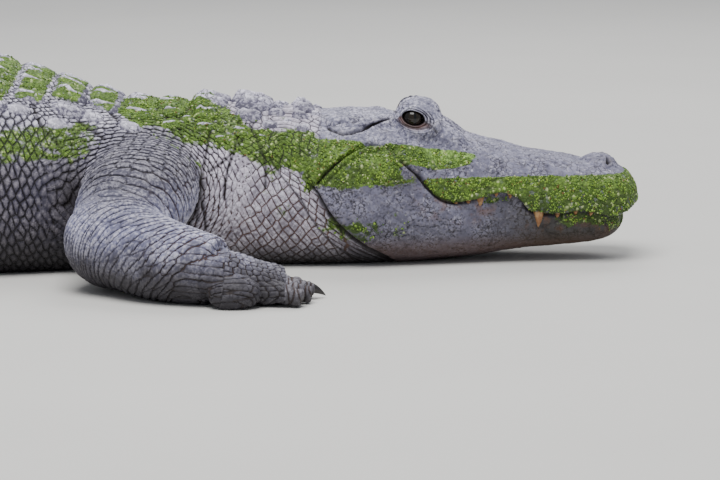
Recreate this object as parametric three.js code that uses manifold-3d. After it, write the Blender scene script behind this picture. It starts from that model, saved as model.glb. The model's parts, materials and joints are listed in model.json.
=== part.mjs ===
// American alligator lying at rest on its belly, life size, as a still model.
// Millimetres, +X towards the snout, +Y to the animal's left, +Z up.
// The origin is on the floor under the middle of the belly.
// "s" is the distance behind the snout tip, measured along the backbone.
import * as THREE from 'three';
import { ConvexGeometry } from 'three/addons/geometries/ConvexGeometry.js';
import { LoftGeometry } from 'three/addons/geometries/LoftGeometry.js';
import { mergeVertices } from 'three/addons/utils/BufferGeometryUtils.js';
import Module from 'manifold-3d';

const wasm = await Module();
wasm.setup();
const V = (x, y, z) => new THREE.Vector3(x, y, z);
const { clamp, lerp, smoothstep } = THREE.MathUtils;

// Driving dimensions
const TOTAL_LENGTH = 3200; // snout tip to tail tip, along the backbone
const SNOUT_X = 1100; // the snout tip, ahead of the origin
const SKULL_END = 455; // back of the skull table
const SHOULDER_CUT = 690; // neck meets torso
const VENT = 1560; // torso meets tail
const TAIL_CUTS = [VENT, 1960, 2360, 2760];
const GAP = 0.45; // clearance between neighbouring solids
const BODY_SIDES = 24;
const TAIL_SIDES = 14;
const EYE_R = 15;
const EYE = { s: 325, y: 65, z: 209.5 };
const SCUTE_ROW = 51; // spacing of the scute rows along the back
const SCUTE_COLUMN = 44; // spacing of the scute columns across the back
const WHORL = 45; // spacing of the rings of scutes at the tail's root

// Sections of the body: s, half width, top, height of the widest line, underside.
// An underside below 0 is pressed flat on the floor.
const BODY = [
  [330, 96, 150, 70, -6],
  [400, 118, 190, 90, -8],
  [450, 127, 211, 96, -10],
  [520, 127, 219, 100, -12],
  [600, 134, 223, 101, -14],
  [690, 150, 223, 100, -16],
  [770, 168, 235, 100, -20],
  [840, 190, 258, 102, -22],
  [912, 212, 278, 106, -24],
  [1000, 228, 293, 110, -26],
  [1120, 238, 300, 112, -26],
  [1250, 226, 290, 110, -24],
  [1350, 198, 272, 105, -20],
  [1430, 166, 250, 100, -16],
  [1520, 134, 222, 92, -12],
  [1600, 117, 202, 86, -10],
  [1800, 97, 176, 76, -8],
  [2000, 81, 156, 68, -7],
  [2200, 66, 136, 60, -6],
  [2400, 53, 115, 51, -5],
  [2600, 41, 93, 41, -4],
  [2800, 29, 69, 30, -3],
  [3000, 18, 43, 18, -2],
  [3120, 11, 26, 11, -1.5],
  [TOTAL_LENGTH, 4, 11, 5, -1],
];
// Skull with the upper jaw, then lower jaw with throat and jowls: the same columns.
const UPPER = [
  [0, 70, 134, 90, 48],
  [70, 76, 140, 90, 48],
  [110, 76, 149, 90, 48],
  [150, 78, 155, 92, 50],
  [200, 88, 164, 98, 60],
  [250, 95, 176, 98, 60],
  [300, 101, 188, 112, 70],
  [345, 106, 197, 138, 100],
  [400, 112, 200, 150, 110],
  [SKULL_END + 5, 112, 200, 150, 110],
];
const LOWER = [
  [20, 60, 92, 60, 28],
  [60, 64, 100, 58, 25],
  [110, 69, 110, 58, 20],
  [170, 76, 120, 62, 15],
  [230, 88, 135, 64, 6],
  [290, 104, 160, 72, 0],
  [345, 121, 186, 92, -5],
  [390, 133, 196, 104, -8],
  [430, 136, 196, 106, -8],
  [475, 132, 190, 104, -8],
];
const UPPER_ROUND = 56; // how far back the snout's rounded front reaches
const LOWER_ROUND = 58;
const LOWER_START = 20; // the lower jaw's front, behind the snout tip
const LOWER_END = 475;
const UPPER_SIDES = 20;
const LOWER_SIDES = 18;
// Edge of the upper lip as seen from the side, then the crease over the jowl: s, z.
const MOUTH_LINE = [
  [-20, 84], [2, 80], [16, 71], [34, 65], [84, 74], [108, 70], [134, 70], [160, 76],
  [176, 93], [198, 102], [230, 94], [261, 90], [282, 95], [298, 108], [316, 131],
  [335, 151], [356, 170], [380, 178], [406, 171], [428, 157], [446, 141], [SKULL_END + 5, 125],
];
// Back edge of the jowl, where the neck's skin folds against it: s, z.
const JOWL_FOLD = [[462, 112], [452, 92], [430, 62], [396, 32], [356, 6], [335, -30]];

// Smooth curves through a table's columns, with no overshoot between its rows.
function track(rows) {
  const columns = rows[0].length - 1;
  const slope = (i, c) => (rows[i + 1][c] - rows[i][c]) / (rows[i + 1][0] - rows[i][0]);
  const tangent = (i, c) => {
    if (i === 0 || i === rows.length - 1) {
      return slope(Math.max(0, i - 1), c);
    }
    const [a, b] = [slope(i - 1, c), slope(i, c)];
    return a * b <= 0 ? 0 : (2 * a * b) / (a + b);
  };
  return (at) => {
    let i = rows.findIndex((r) => r[0] > at) - 1;
    if (i < 0) {
      i = at < rows[0][0] ? 0 : rows.length - 2;
    }
    const step = rows[i + 1][0] - rows[i][0];
    const t = clamp((at - rows[i][0]) / step, 0, 1);
    return Array.from({ length: columns }, (_, k) => {
      const c = k + 1;
      const [p, q] = [rows[i][c], rows[i + 1][c]];
      const [m, n] = [tangent(i, c) * step, tangent(i + 1, c) * step];
      const [t2, t3] = [t * t, t * t * t];
      return (2 * t3 - 3 * t2 + 1) * p + (t3 - 2 * t2 + t) * m
        + (3 * t2 - 2 * t3) * q + (t3 - t2) * n;
    });
  };
}
const body = track(BODY);
const upper = track(UPPER);
const lower = track(LOWER);

// The backbone in plan: straight to the hips, then the tail swings left and curls back.
const heading = track([
  [0, 0], [1350, 0], [1700, 0.2], [2100, 0.42], [2500, 0.3], [2900, -0.25], [TOTAL_LENGTH, -0.6],
]);
const STEP = 5;
const spine = [V(SNOUT_X, 0, 0)];
for (let s = 0; s < TOTAL_LENGTH; s += STEP) {
  const [turn] = heading(s + STEP / 2);
  const last = spine[spine.length - 1];
  spine.push(V(last.x - STEP * Math.cos(turn), last.y + STEP * Math.sin(turn), 0));
}
function onSpine(s) {
  const at = clamp(s / STEP, 0, spine.length - 1.001);
  const i = Math.floor(at);
  const [turn] = heading(s);
  return {
    point: spine[i].clone().lerp(spine[i + 1], at - i),
    back: V(-Math.cos(turn), Math.sin(turn), 0),
    left: V(Math.sin(turn), Math.cos(turn), 0),
  };
}

// Closed three.js geometry to a solid, turned inside out if its faces point inwards.
function solid(geometry) {
  const plain = new THREE.BufferGeometry();
  plain.setAttribute('position', geometry.getAttribute('position'));
  plain.setIndex(geometry.index);
  const merged = mergeVertices(plain, 1e-4);
  const triVerts = Uint32Array.from(merged.index.array);
  const p = merged.attributes.position.array;
  let volume = 0;
  for (let i = 0; i < triVerts.length; i += 3) {
    const [a, b, c] = [0, 1, 2].map((k) => new THREE.Vector3().fromArray(p, triVerts[i + k] * 3));
    volume += a.dot(b.cross(c));
  }
  if (volume < 0) {
    for (let i = 0; i < triVerts.length; i += 3) {
      [triVerts[i + 1], triVerts[i + 2]] = [triVerts[i + 2], triVerts[i + 1]];
    }
  }
  return new wasm.Manifold(new wasm.Mesh({ numProp: 3, vertProperties: p, triVerts }));
}
const loft = (sections) => solid(new LoftGeometry(sections, { capStart: true, capEnd: true }));
const join = (solids) => wasm.Manifold.union(solids);
const largest = (made) => made.decompose().reduce((a, b) => (b.volume() > a.volume() ? b : a));

// One oval section: rounder above its widest line than below.
const POWER_ABOVE = 2.25;
const POWER_BELOW = 2.7;
const POWER_HEAD = 2.8; // the skull is flatter on top than the body
function sectionPoint(angle, half, top, level, under, powerAbove = POWER_ABOVE) {
  const [c, s] = [Math.cos(angle), Math.sin(angle)];
  const power = s > 0 ? powerAbove : POWER_BELOW;
  const across = Math.sign(c) * half * Math.abs(c) ** (2 / power);
  const rise = Math.abs(s) ** (2 / power);
  return [across, level + (s > 0 ? (top - level) * rise : (under - level) * rise)];
}
function bodyPoint(s, angle, grow = 0) {
  const [half, top, level, under] = body(s);
  const [across, z] = sectionPoint(angle, half + grow, top + grow, level, under - grow);
  const at = onSpine(s);
  return at.point.addScaledVector(at.left, across).setZ(z);
}
const SECTION_STEPS = [24, 52]; // closest and widest spacing of the body's sections
function bodySolid(from, to, grow = 0) {
  const sections = [];
  let s = from;
  while (s < to) {
    sections.push(s);
    s += clamp(body(s)[0] * 0.45, ...SECTION_STEPS);
  }
  sections.push(to);
  const sides = from <= VENT ? BODY_SIDES : TAIL_SIDES;
  return loft(sections.map((at) => Array.from({ length: sides }, (_, i) =>
    bodyPoint(at, (-i / sides) * 2 * Math.PI, grow))));
}

// A jaw's loft, with its front rounded over in plan and in height.
function jawSolid(columns, from, to, reach, sides) {
  const stops = [];
  const FRONT_STEPS = 6;
  const FRONT_FLAT = 0.6;
  const STOP_SPACING = 32;
  for (let i = 0; i < FRONT_STEPS; i += 1) {
    stops.push(from + reach * (1 - Math.cos((i / FRONT_STEPS) * Math.PI / 2)) + FRONT_FLAT);
  }
  const bodySteps = Math.round((to - from - reach) / STOP_SPACING);
  for (let i = 0; i <= bodySteps; i += 1) {
    stops.push(from + reach + ((to - from - reach) * i) / bodySteps);
  }
  return loft(stops.map((s) => {
    const [half, top, level, under] = columns(s);
    const ahead = Math.max(0, 1 - (s - from) / reach);
    const fullness = (1 - ahead ** 2.6) ** (1 / 2.2);
    return Array.from({ length: sides }, (_, i) => {
      const [y, z] = sectionPoint((-i / sides) * 2 * Math.PI, half * fullness,
        level + (top - level) * fullness, level, level + (under - level) * fullness, POWER_HEAD);
      return V(SNOUT_X - s, y, z);
    });
  }));
}

const BALL_SIDES = 12;
function ball(center, radii, pitch = 0, sides = BALL_SIDES) {
  const shape = new THREE.SphereGeometry(1, sides, Math.round(sides * 0.6));
  shape.scale(...radii);
  shape.rotateY(pitch);
  shape.translate(SNOUT_X - center.s, center.y, center.z);
  return solid(shape);
}

// A region of the side view, pushed through the whole width of the head.
const REGION_HALF = 400;
function region(outline) {
  const shape = new THREE.Shape(outline.map(([s, z]) => new THREE.Vector2(SNOUT_X - s, z)));
  const block = new THREE.ExtrudeGeometry(shape, { depth: 2 * REGION_HALF, bevelEnabled: false });
  block.rotateX(Math.PI / 2);
  block.translate(0, REGION_HALF, 0);
  return solid(block);
}
const shifted = (line, ds, dz) => line.map(([s, z]) => [s + ds, z + dz]);

// A keeled plate: four corners sunk into the skin and a ridge that peaks near its back edge.
const SCUTE_SINK = 6;
function scute(place, length, width, height, lean = 0) {
  const { point, back, across, out } = place;
  const at = (along, side, up) => point.clone().addScaledVector(back, along)
    .addScaledVector(across, side).addScaledVector(out, up);
  const corners = [[-0.54, 0.46], [-0.54, -0.46], [0.54, -0.52], [0.54, 0.52]];
  return solid(new ConvexGeometry([
    ...corners.map(([u, v]) => at(u * length, v * width, -SCUTE_SINK)),
    at(-0.3 * length, 0, height * 0.55),
    at((0.26 + lean) * length, 0, height),
  ]));
}

// The place on the back that lies a given distance from the midline, over the skin.
function onBack(s, aside) {
  const side = Math.sign(aside) || 1;
  const FINE = 90;
  let angle = Math.PI / 2;
  let walked = 0;
  let last = bodyPoint(s, angle);
  while (walked < Math.abs(aside)) {
    angle -= (side * Math.PI) / 2 / FINE;
    const next = bodyPoint(s, angle);
    walked += next.distanceTo(last);
    last = next;
  }
  const ahead = bodyPoint(s - 4, angle);
  const behind = bodyPoint(s + 4, angle);
  const back = behind.sub(ahead).normalize();
  const across = bodyPoint(s, angle - 0.03).sub(bodyPoint(s, angle + 0.03)).normalize();
  const out = back.clone().cross(across).normalize();
  if (out.z < 0) {
    out.negate();
  }
  return { point: last, back, across: out.clone().cross(back).normalize(), out };
}

// A small seeded generator, so that the plates vary alike on each run.
const MODULUS = 2147483647;
const MULTIPLIER = 16807;
let seed = 7;
function vary(amount) {
  seed = (seed * MULTIPLIER) % MODULUS;
  return 1 + amount * (2 * (seed / MODULUS) - 1);
}

// Scutes of the neck: a row behind the skull, the large nuchal group, and flanking ones.
// Each row: s, distance from the midline, length, width, height.
const NECK_SCUTES = [
  [484, 20, 30, 25, 15], [486, 50, 24, 19, 11], [520, 46, 24, 20, 9],
  [552, 22, 54, 39, 20], [616, 21, 52, 37, 21], [560, 62, 38, 29, 14], [618, 60, 36, 27, 14],
  [670, 20, 34, 28, 10],
];
function neckScutes() {
  const made = [];
  for (const side of [-1, 1]) {
    for (const [s, aside, length, width, height] of NECK_SCUTES) {
      made.push(scute(onBack(s, side * aside), length * vary(0.05), width * vary(0.05), height));
    }
  }
  return made;
}

// Keeled scutes of the trunk, in rows that narrow over the shoulders and the hips.
const TRUNK_FIRST = 712;
const TRUNK_REST = 20; // left free ahead of the tail's first ring
const INNER_SCUTE = { width: 0.9, height: 12 };
const OUTER_SCUTE = { width: 0.74, height: 9 };
function scuteColumns(row, rows) {
  if (row < 2) {
    return 2;
  }
  return row < 4 || row > rows - 5 ? 3 : 4;
}
function trunkScutes() {
  const made = [];
  const rows = Math.floor((VENT - TRUNK_FIRST - TRUNK_REST) / SCUTE_ROW) + 1;
  for (let row = 0; row < rows; row += 1) {
    const s = TRUNK_FIRST + row * SCUTE_ROW;
    const columns = scuteColumns(row, rows);
    for (let k = 0; k < columns; k += 1) {
      const kind = k === columns - 1 ? OUTER_SCUTE : INNER_SCUTE;
      for (const side of [-1, 1]) {
        const place = onBack(s, side * (k + 0.52) * SCUTE_COLUMN);
        const height = kind.height * vary(0.15);
        const width = SCUTE_COLUMN * kind.width * vary(0.06);
        made.push(scute(place, SCUTE_ROW * 0.86 * vary(0.05), width, height));
      }
    }
  }
  return made;
}

// Scutes of the tail: two rows that grow into a double crest, then one row on the ridge.
const CREST_JOINS = 2360;
const TAIL_FIRST = 24; // the first ring, behind the vent
const TAIL_REST = 30; // left free at the tip
const LOW_SCUTES = 330; // how far behind the vent the low outer scutes go on
function tailScutes(from, to) {
  const made = [];
  let s = VENT + TAIL_FIRST;
  while (s < TOTAL_LENGTH - TAIL_REST) {
    const [half] = body(s);
    const spacing = WHORL * lerp(1.05, 0.75, (s - VENT) / (TOTAL_LENGTH - VENT));
    const margin = spacing * 0.55;
    if (s > from + margin && s < to - margin) {
      const grown = smoothstep(s, VENT, CREST_JOINS);
      if (s < CREST_JOINS) {
        for (const side of [-1, 1]) {
          const place = onBack(s, side * half * lerp(0.52, 0.3, grown));
          place.out.lerp(V(0, 0, 1), 0.5 * grown).normalize();
          place.across.crossVectors(place.out, place.back).normalize();
          const width = lerp(34, 14, grown);
          made.push(scute(place, spacing * 0.9, width, (13 + 29 * grown) * vary(0.08), 0.2 * grown));
          if (s < VENT + LOW_SCUTES) {
            const low = onBack(s, side * half * 1.06);
            made.push(scute(low, spacing * 0.8, 26, 8 * vary(0.1)));
          }
        }
      } else {
        const fade = (s - CREST_JOINS) / (TOTAL_LENGTH - CREST_JOINS);
        const height = lerp(46, 12, fade ** 1.3) * vary(0.06);
        const width = lerp(15, 7, fade);
        made.push(scute(onBack(s, 0), spacing * 0.92, width, height, 0.24));
      }
    }
    s += spacing;
  }
  return made;
}

// A fleshy tube along hand-set joints: x, y, z, radius across, radius up.
function limb(joints, sides, steps, grow = 0, to = 1) {
  const line = joints.map(([x, y, z]) => V(x, y, z));
  const path = new THREE.CatmullRomCurve3(line, false, 'centripetal');
  const radii = track(joints.map(([, , , wide, high], i) => [i / (joints.length - 1), wide, high]));
  return loft(Array.from({ length: steps + 1 }, (_, i) => {
    const t = (to * i) / steps;
    const center = path.getPoint(t);
    const along = path.getTangent(t);
    const side = V(0, 0, 1).cross(along).normalize();
    const up = along.clone().cross(side).normalize();
    const [wide, high] = radii(t);
    return Array.from({ length: sides }, (_, k) => {
      const a = (k / sides) * 2 * Math.PI;
      return center.clone().addScaledVector(side, (wide + grow) * Math.cos(a))
        .addScaledVector(up, (high + grow) * Math.sin(a));
    });
  }));
}

const onFloor = (made) => made.trimByPlane([0, 0, 1], 0);
// Keeps what lies beyond a plane through a joint, on the far or the near side of it.
function beyond(made, joint, towards, keepFar) {
  const [x, y, z] = joint;
  const n = V(...towards).normalize();
  const offset = n.dot(V(x, y, z));
  return keepFar
    ? made.trimByPlane([n.x, n.y, n.z], offset + GAP / 2)
    : made.trimByPlane([-n.x, -n.y, -n.z], -offset + GAP / 2);
}

// A foot: palm, fanned toes, webs between them and claws on the inner three toes.
const KNUCKLES = [[0, 1.1], [0.4, 1.25], [0.75, 0.95], [1, 0.8]]; // along the toe, lift in toe radii
const CLAW_TIP = 0.85;
const WEB_THICK = 5;
function foot(wrist, turn, side, plan) {
  const { palmLength, palmWidth, toes, toeRadius, web, splay, wristRadius, clawLength, plump } = plan;
  const place = (along, aside, z) => V(
    wrist[0] + along * Math.cos(turn) - aside * Math.sin(turn),
    wrist[1] + along * Math.sin(turn) + aside * Math.cos(turn),
    z,
  );
  const joint = (p, wide, high) => [p.x, p.y, p.z, wide, high];
  const pieces = [limb([
    joint(place(-22, 0, wrist[2]), wristRadius * 0.9, wristRadius * 0.86),
    joint(place(palmLength * 0.35, 0, wrist[2] * 0.78), palmWidth * 0.44, wristRadius * 0.8),
    joint(place(palmLength * 0.8, 0, wrist[2] * plump), palmWidth * 0.48, wristRadius * plump * 1.1),
    joint(place(palmLength * 1.15, 0, wrist[2] * plump * 0.85), palmWidth * 0.4, wristRadius * plump),
  ], 9, 4)];
  const tips = [];
  toes.forEach(({ length, clawed }, i) => {
    const spread = (i / (toes.length - 1) - 0.5) * side;
    const fan = splay * spread;
    const reach = (t) => [
      palmLength * 0.72 + length * t * Math.cos(fan),
      palmWidth * 0.78 * spread + length * t * Math.sin(fan),
    ];
    pieces.push(limb(KNUCKLES.map(([t, lift]) => joint(
      place(...reach(t), toeRadius * lift),
      toeRadius * (1.1 - 0.35 * t),
      toeRadius * (1 - 0.3 * t),
    )), 5, 2));
    tips.push(reach(web));
    if (clawed) {
      const claw = clawLength / length;
      pieces.push(limb([
        joint(place(...reach(0.9), toeRadius * 0.95), toeRadius * 0.5, toeRadius * 0.5),
        joint(place(...reach(1 + 0.5 * claw), toeRadius * 0.85), toeRadius * 0.36, toeRadius * 0.4),
        joint(place(...reach(1 + claw), toeRadius * 0.3), CLAW_TIP, CLAW_TIP),
      ], 4, 2));
    }
  });
  const webFloor = toeRadius * 0.75;
  for (let i = 0; i + 1 < tips.length; i += 1) {
    const corners = [tips[i], tips[i + 1], [palmLength * 0.7, (tips[i][1] + tips[i + 1][1]) / 3]];
    pieces.push(solid(new ConvexGeometry(corners.flatMap(([u, v]) => [
      place(u, v, webFloor), place(u, v, webFloor + WEB_THICK),
    ]))));
  }
  return join(pieces);
}

const HIDE = { color: 0x6f7080, roughness: 0.75, metalness: 0 };
const LEG_HIDE = { color: 0x5f6273, roughness: 0.7, metalness: 0 };
const EYE_GLOSS = { color: 0x2b2620, roughness: 0.12, metalness: 0 };

const alligator = new THREE.Group();
function add(name, made, look, coarseness = 0.12) {
  const kept = largest(made.simplify(coarseness));
  const { vertProperties, triVerts, numProp } = kept.getMesh();
  const positions = new Float32Array((vertProperties.length / numProp) * 3);
  for (let i = 0; i < positions.length / 3; i += 1) {
    positions.set(vertProperties.subarray(i * numProp, i * numProp + 3), i * 3);
  }
  const geometry = new THREE.BufferGeometry();
  geometry.setAttribute('position', new THREE.BufferAttribute(positions, 3));
  geometry.setIndex(new THREE.BufferAttribute(Uint32Array.from(triVerts), 1));
  geometry.computeVertexNormals();
  const mesh = new THREE.Mesh(geometry, new THREE.MeshStandardMaterial(look));
  mesh.name = name;
  alligator.add(mesh);
}

// Head
const SKY = 400; // above everything
const CELLAR = -60; // below everything
const AHEAD = -20; // ahead of the snout tip
const NAPE = 160; // height at which the skull's back edge turns forward
const mouthUp = shifted(MOUTH_LINE, 0, GAP / 2);
const mouthDown = shifted(MOUTH_LINE, 0, -GAP / 2);
const headRegion = region([...mouthUp, [SKULL_END, NAPE], [SKULL_END - 2, SKY], [AHEAD, SKY]]);
const jawRegion = region([...mouthDown, ...JOWL_FOLD, [AHEAD, CELLAR / 2]]);
const neckRegion = region([
  [TOTAL_LENGTH, CELLAR], [JOWL_FOLD[JOWL_FOLD.length - 1][0] + GAP, CELLAR],
  ...shifted(JOWL_FOLD, GAP, 0).reverse(),
  [SKULL_END + 5 + GAP, 125], [SKULL_END + GAP, NAPE], [SKULL_END - 2 + GAP, SKY], [TOTAL_LENGTH, SKY],
]);

const TABLE = { front: 352, top: 211, under: 178, half: 58 };
function skullTable() {
  const corner = (s, half, z) => V(SNOUT_X - s, half, z);
  const points = [];
  for (const side of [-1, 1]) {
    points.push(
      corner(TABLE.front, side * (TABLE.half - 8), TABLE.top - 4),
      corner(TABLE.front + 30, side * TABLE.half, TABLE.top),
      corner(SKULL_END, side * (TABLE.half + 4), TABLE.top - 2),
      corner(TABLE.front, side * (TABLE.half + 2), TABLE.top - 14),
      corner(SKULL_END, side * (TABLE.half + 10), TABLE.top - 12),
      corner(TABLE.front, side * TABLE.half, TABLE.under),
      corner(SKULL_END, side * (TABLE.half + 6), TABLE.under),
    );
  }
  return solid(new ConvexGeometry(points));
}
// The flap that closes the ear: a long roll under the table's edge, with a slit below it.
// Each row: s, y, z, share of the roll's thickness, drop of the slit.
const EAR = [
  [350, 60, 203, 0.5, 3], [385, 67, 199, 0.8, 7], [420, 72, 195, 1.15, 10.5], [447, 70, 196, 0.7, 7],
];
const EAR_ROLL = 9;
const EAR_SLIT = { out: 8, wide: 7, high: 1.5 };
const earRoll = (side) => limb(EAR.map(([s, y, z, thick]) =>
  [SNOUT_X - s, side * y, z, EAR_ROLL, EAR_ROLL * thick]), 6, 5);
const earSlit = (side) => limb(EAR.map(([s, y, z, , drop]) =>
  [SNOUT_X - s, side * (y + EAR_SLIT.out), z - drop, EAR_SLIT.wide, EAR_SLIT.high]), 5, 5);

// A tooth hangs from the upper lip, outside the lower jaw.
const TEETH = [
  [70, 9], [92, 8], [118, 9], [146, 13], [186, 8], [206, 8], [226, 9], [246, 14], [264, 12], [282, 8],
];
const TOOTH = { inset: 4.5, hidden: 10, radius: 0.42, sides: 5, tilt: 0.06 };
const lip = track(MOUTH_LINE);
function tooth(s, length, side) {
  const [half] = upper(s);
  const [edge] = lip(s);
  const cone = new THREE.ConeGeometry(length * TOOTH.radius, length + TOOTH.hidden, TOOTH.sides);
  cone.rotateX(Math.PI + side * TOOTH.tilt);
  cone.translate(SNOUT_X - s, side * (half - TOOTH.inset), edge + (TOOTH.hidden - length) / 2);
  return solid(cone);
}

// Rounded forms of the head: middle as s, y, z, then radii and pitch.
const JOWL = { s: 372, y: 108, z: 140, radii: [58, 26, 27], pitch: 0 };
const BROW = { s: 315, y: 52, z: 197, radii: [34, 33, 30], pitch: 0.05 };
const BROW_FRONT = { s: 284, y: 44, z: 175, radii: [48, 27, 20], pitch: 0.42 };
const NOSE_BUMP = { s: 56, y: 0, z: 131, radii: [28, 44, 20], pitch: 0.08 };
const NOSTRIL = { s: 44, y: 21, z: 149, radii: [9, 4, 8], pitch: 0.4 };
const LID_HOLLOW = { s: EYE.s, y: EYE.y + 22, z: EYE.z + 2.5, radii: [19, 17, 11], pitch: -0.2 };
const onSide = ({ s, y, z, radii, pitch }, side, sides) =>
  ball({ s, y: side * y, z }, radii, pitch, sides);
const eyeball = (side, radius) => ball({ s: EYE.s, y: side * EYE.y, z: EYE.z }, Array(3).fill(radius));

const eyes = { right: -1, left: 1 };
const bothSides = Object.values(eyes);
const jawWhole = join([
  jawSolid(lower, LOWER_START, LOWER_END, LOWER_ROUND, LOWER_SIDES),
  ...bothSides.map((side) => onSide(JOWL, side)),
]);
const lowerGrown = track(LOWER.map(([s, half, ...rest]) => [s, half + GAP, ...rest]));
const jawGrown = jawSolid(lowerGrown, LOWER_START - GAP, LOWER_END, LOWER_ROUND, LOWER_SIDES);
const skull = join([
  jawSolid(upper, 0, SKULL_END + 4, UPPER_ROUND, UPPER_SIDES), skullTable(), onSide(NOSE_BUMP, 1),
  ...bothSides.flatMap((side) => [onSide(BROW, side, 14), onSide(BROW_FRONT, side), earRoll(side)]),
]);
const hollows = join(bothSides.flatMap((side) => [
  onSide(NOSTRIL, side, 10), eyeball(side, EYE_R + GAP), onSide(LID_HOLLOW, side), earSlit(side),
]));
const teeth = join(TEETH.flatMap(([s, length]) => bothSides.map((side) => tooth(s, length, side))));
const head = join([skull.intersect(headRegion).subtract(hollows), teeth.subtract(jawGrown)]);
add('head', head, HIDE);
add('lower_jaw', onFloor(jawWhole.intersect(jawRegion)), HIDE);
for (const [name, side] of Object.entries(eyes)) {
  add(`eye_${name}`, eyeball(side, EYE_R), EYE_GLOSS);
}

// Neck, torso and tail
const NECK_START = 331;
function length(from, to, scutes) {
  let made = onFloor(join([bodySolid(from, to), ...scutes]));
  for (const [s, keepFar] of [[from, true], [to, false]]) {
    if (s !== NECK_START && s !== TOTAL_LENGTH) {
      const { point, back } = onSpine(s);
      made = beyond(made, point.toArray(), back.toArray(), keepFar);
    }
  }
  return made;
}
add('neck', length(NECK_START, SHOULDER_CUT, neckScutes()).intersect(neckRegion), HIDE);
add('torso', length(SHOULDER_CUT, VENT, trunkScutes()), HIDE);
TAIL_CUTS.forEach((from, i) => {
  const to = TAIL_CUTS[i + 1] ?? TOTAL_LENGTH;
  add(`tail_${i + 1}`, length(from, to, tailScutes(from, to)), HIDE);
});

// Legs: shoulder or hip, elbow or knee, wrist or ankle.
const FRONT_FOOT = {
  palmLength: 80, palmWidth: 94, wristRadius: 42, toeRadius: 15, web: 0.42, splay: 1.05, clawLength: 19,
  plump: 0.6,
  toes: [
    { length: 58, clawed: true }, { length: 76, clawed: true }, { length: 80, clawed: true },
    { length: 70, clawed: false }, { length: 54, clawed: false },
  ],
};
const HIND_FOOT = {
  palmLength: 88, palmWidth: 84, wristRadius: 34, toeRadius: 11, web: 0.66, splay: 0.85, clawLength: 21,
  plump: 0.4,
  toes: [
    { length: 78, clawed: true }, { length: 98, clawed: true }, { length: 104, clawed: true },
    { length: 88, clawed: false },
  ],
};
const LEGS = {
  front_right: {
    side: -1, turn: 0.3, plan: FRONT_FOOT, names: ['upper_arm', 'forearm', 'foot'],
    joints: [
      [402, -90, 128, 82, 66], [388, -195, 112, 80, 67], [364, -306, 70, 66, 62],
      [434, -374, 54, 58, 56], [504, -406, 44, 48, 46],
    ],
  },
  front_left: {
    side: 1, turn: -0.12, plan: FRONT_FOOT, names: ['upper_arm', 'forearm', 'foot'],
    joints: [
      [402, 90, 128, 82, 66], [372, 185, 110, 80, 66], [325, 286, 66, 66, 60],
      [392, 342, 52, 58, 54], [464, 374, 43, 46, 44],
    ],
  },
  hind_right: {
    side: -1, turn: -0.42, plan: HIND_FOOT, names: ['thigh', 'shank', 'foot'],
    joints: [
      [-330, -60, 122, 96, 84], [-275, -170, 110, 88, 78], [-190, -270, 84, 62, 62],
      [-262, -346, 58, 52, 50], [-338, -400, 42, 37, 37],
    ],
  },
  hind_left: {
    side: 1, turn: 0.3, plan: HIND_FOOT, names: ['thigh', 'shank', 'foot'],
    joints: [
      [-330, 60, 122, 96, 84], [-290, 172, 110, 88, 78], [-220, 276, 84, 62, 62],
      [-300, 350, 58, 52, 50], [-382, 398, 42, 37, 37],
    ],
  },
};
const HINGE = 2; // the joint that is the elbow or the knee
const KNOB = 1.08; // the elbow's rounding against the arm's own thickness
const SHAFT_END = 0.997; // stops the shaft a hair short of the wrist
const bodyGrown = join([
  bodySolid(NECK_START, SHOULDER_CUT, GAP), bodySolid(SHOULDER_CUT, VENT, GAP),
  bodySolid(VENT, TAIL_CUTS[1], GAP), jawGrown,
]);
for (const [leg, { side, turn, plan, joints, names }] of Object.entries(LEGS)) {
  const [x, y, z, wide, high] = joints[HINGE];
  const knob = [wide, wide, high].map((radius) => radius * KNOB);
  const hinge = (grow) => ball({ s: SNOUT_X - x, y, z }, knob.map((radius) => radius + grow), 0, 10);
  const root = (grow) => join([limb(joints.slice(0, HINGE + 1), 11, 4, grow), hinge(grow)]);
  const shaft = (grow) => limb(joints.slice(HINGE), 11, 4, grow, grow > 0 ? 1 : SHAFT_END);
  const paw = foot(joints[4], turn, side, plan).subtract(shaft(GAP)).subtract(root(GAP));
  add(`${leg}_${names[0]}`, onFloor(root(0)).subtract(bodyGrown), LEG_HIDE);
  add(`${leg}_${names[1]}`, onFloor(shaft(0).subtract(root(GAP))).subtract(bodyGrown), LEG_HIDE);
  add(`${leg}_${names[2]}`, onFloor(paw), LEG_HIDE, 0.3);
}

export default alligator;
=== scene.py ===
"""Hide, scutes, eyes, teeth, claws and duckweed of a resting american alligator, life size.

Metres, +X towards the snout, +Y to the animal's left, +Z up, with the floor at z = 0.
"s" is the distance behind the snout tip, measured along the backbone.
"""

import json
import math

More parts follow.
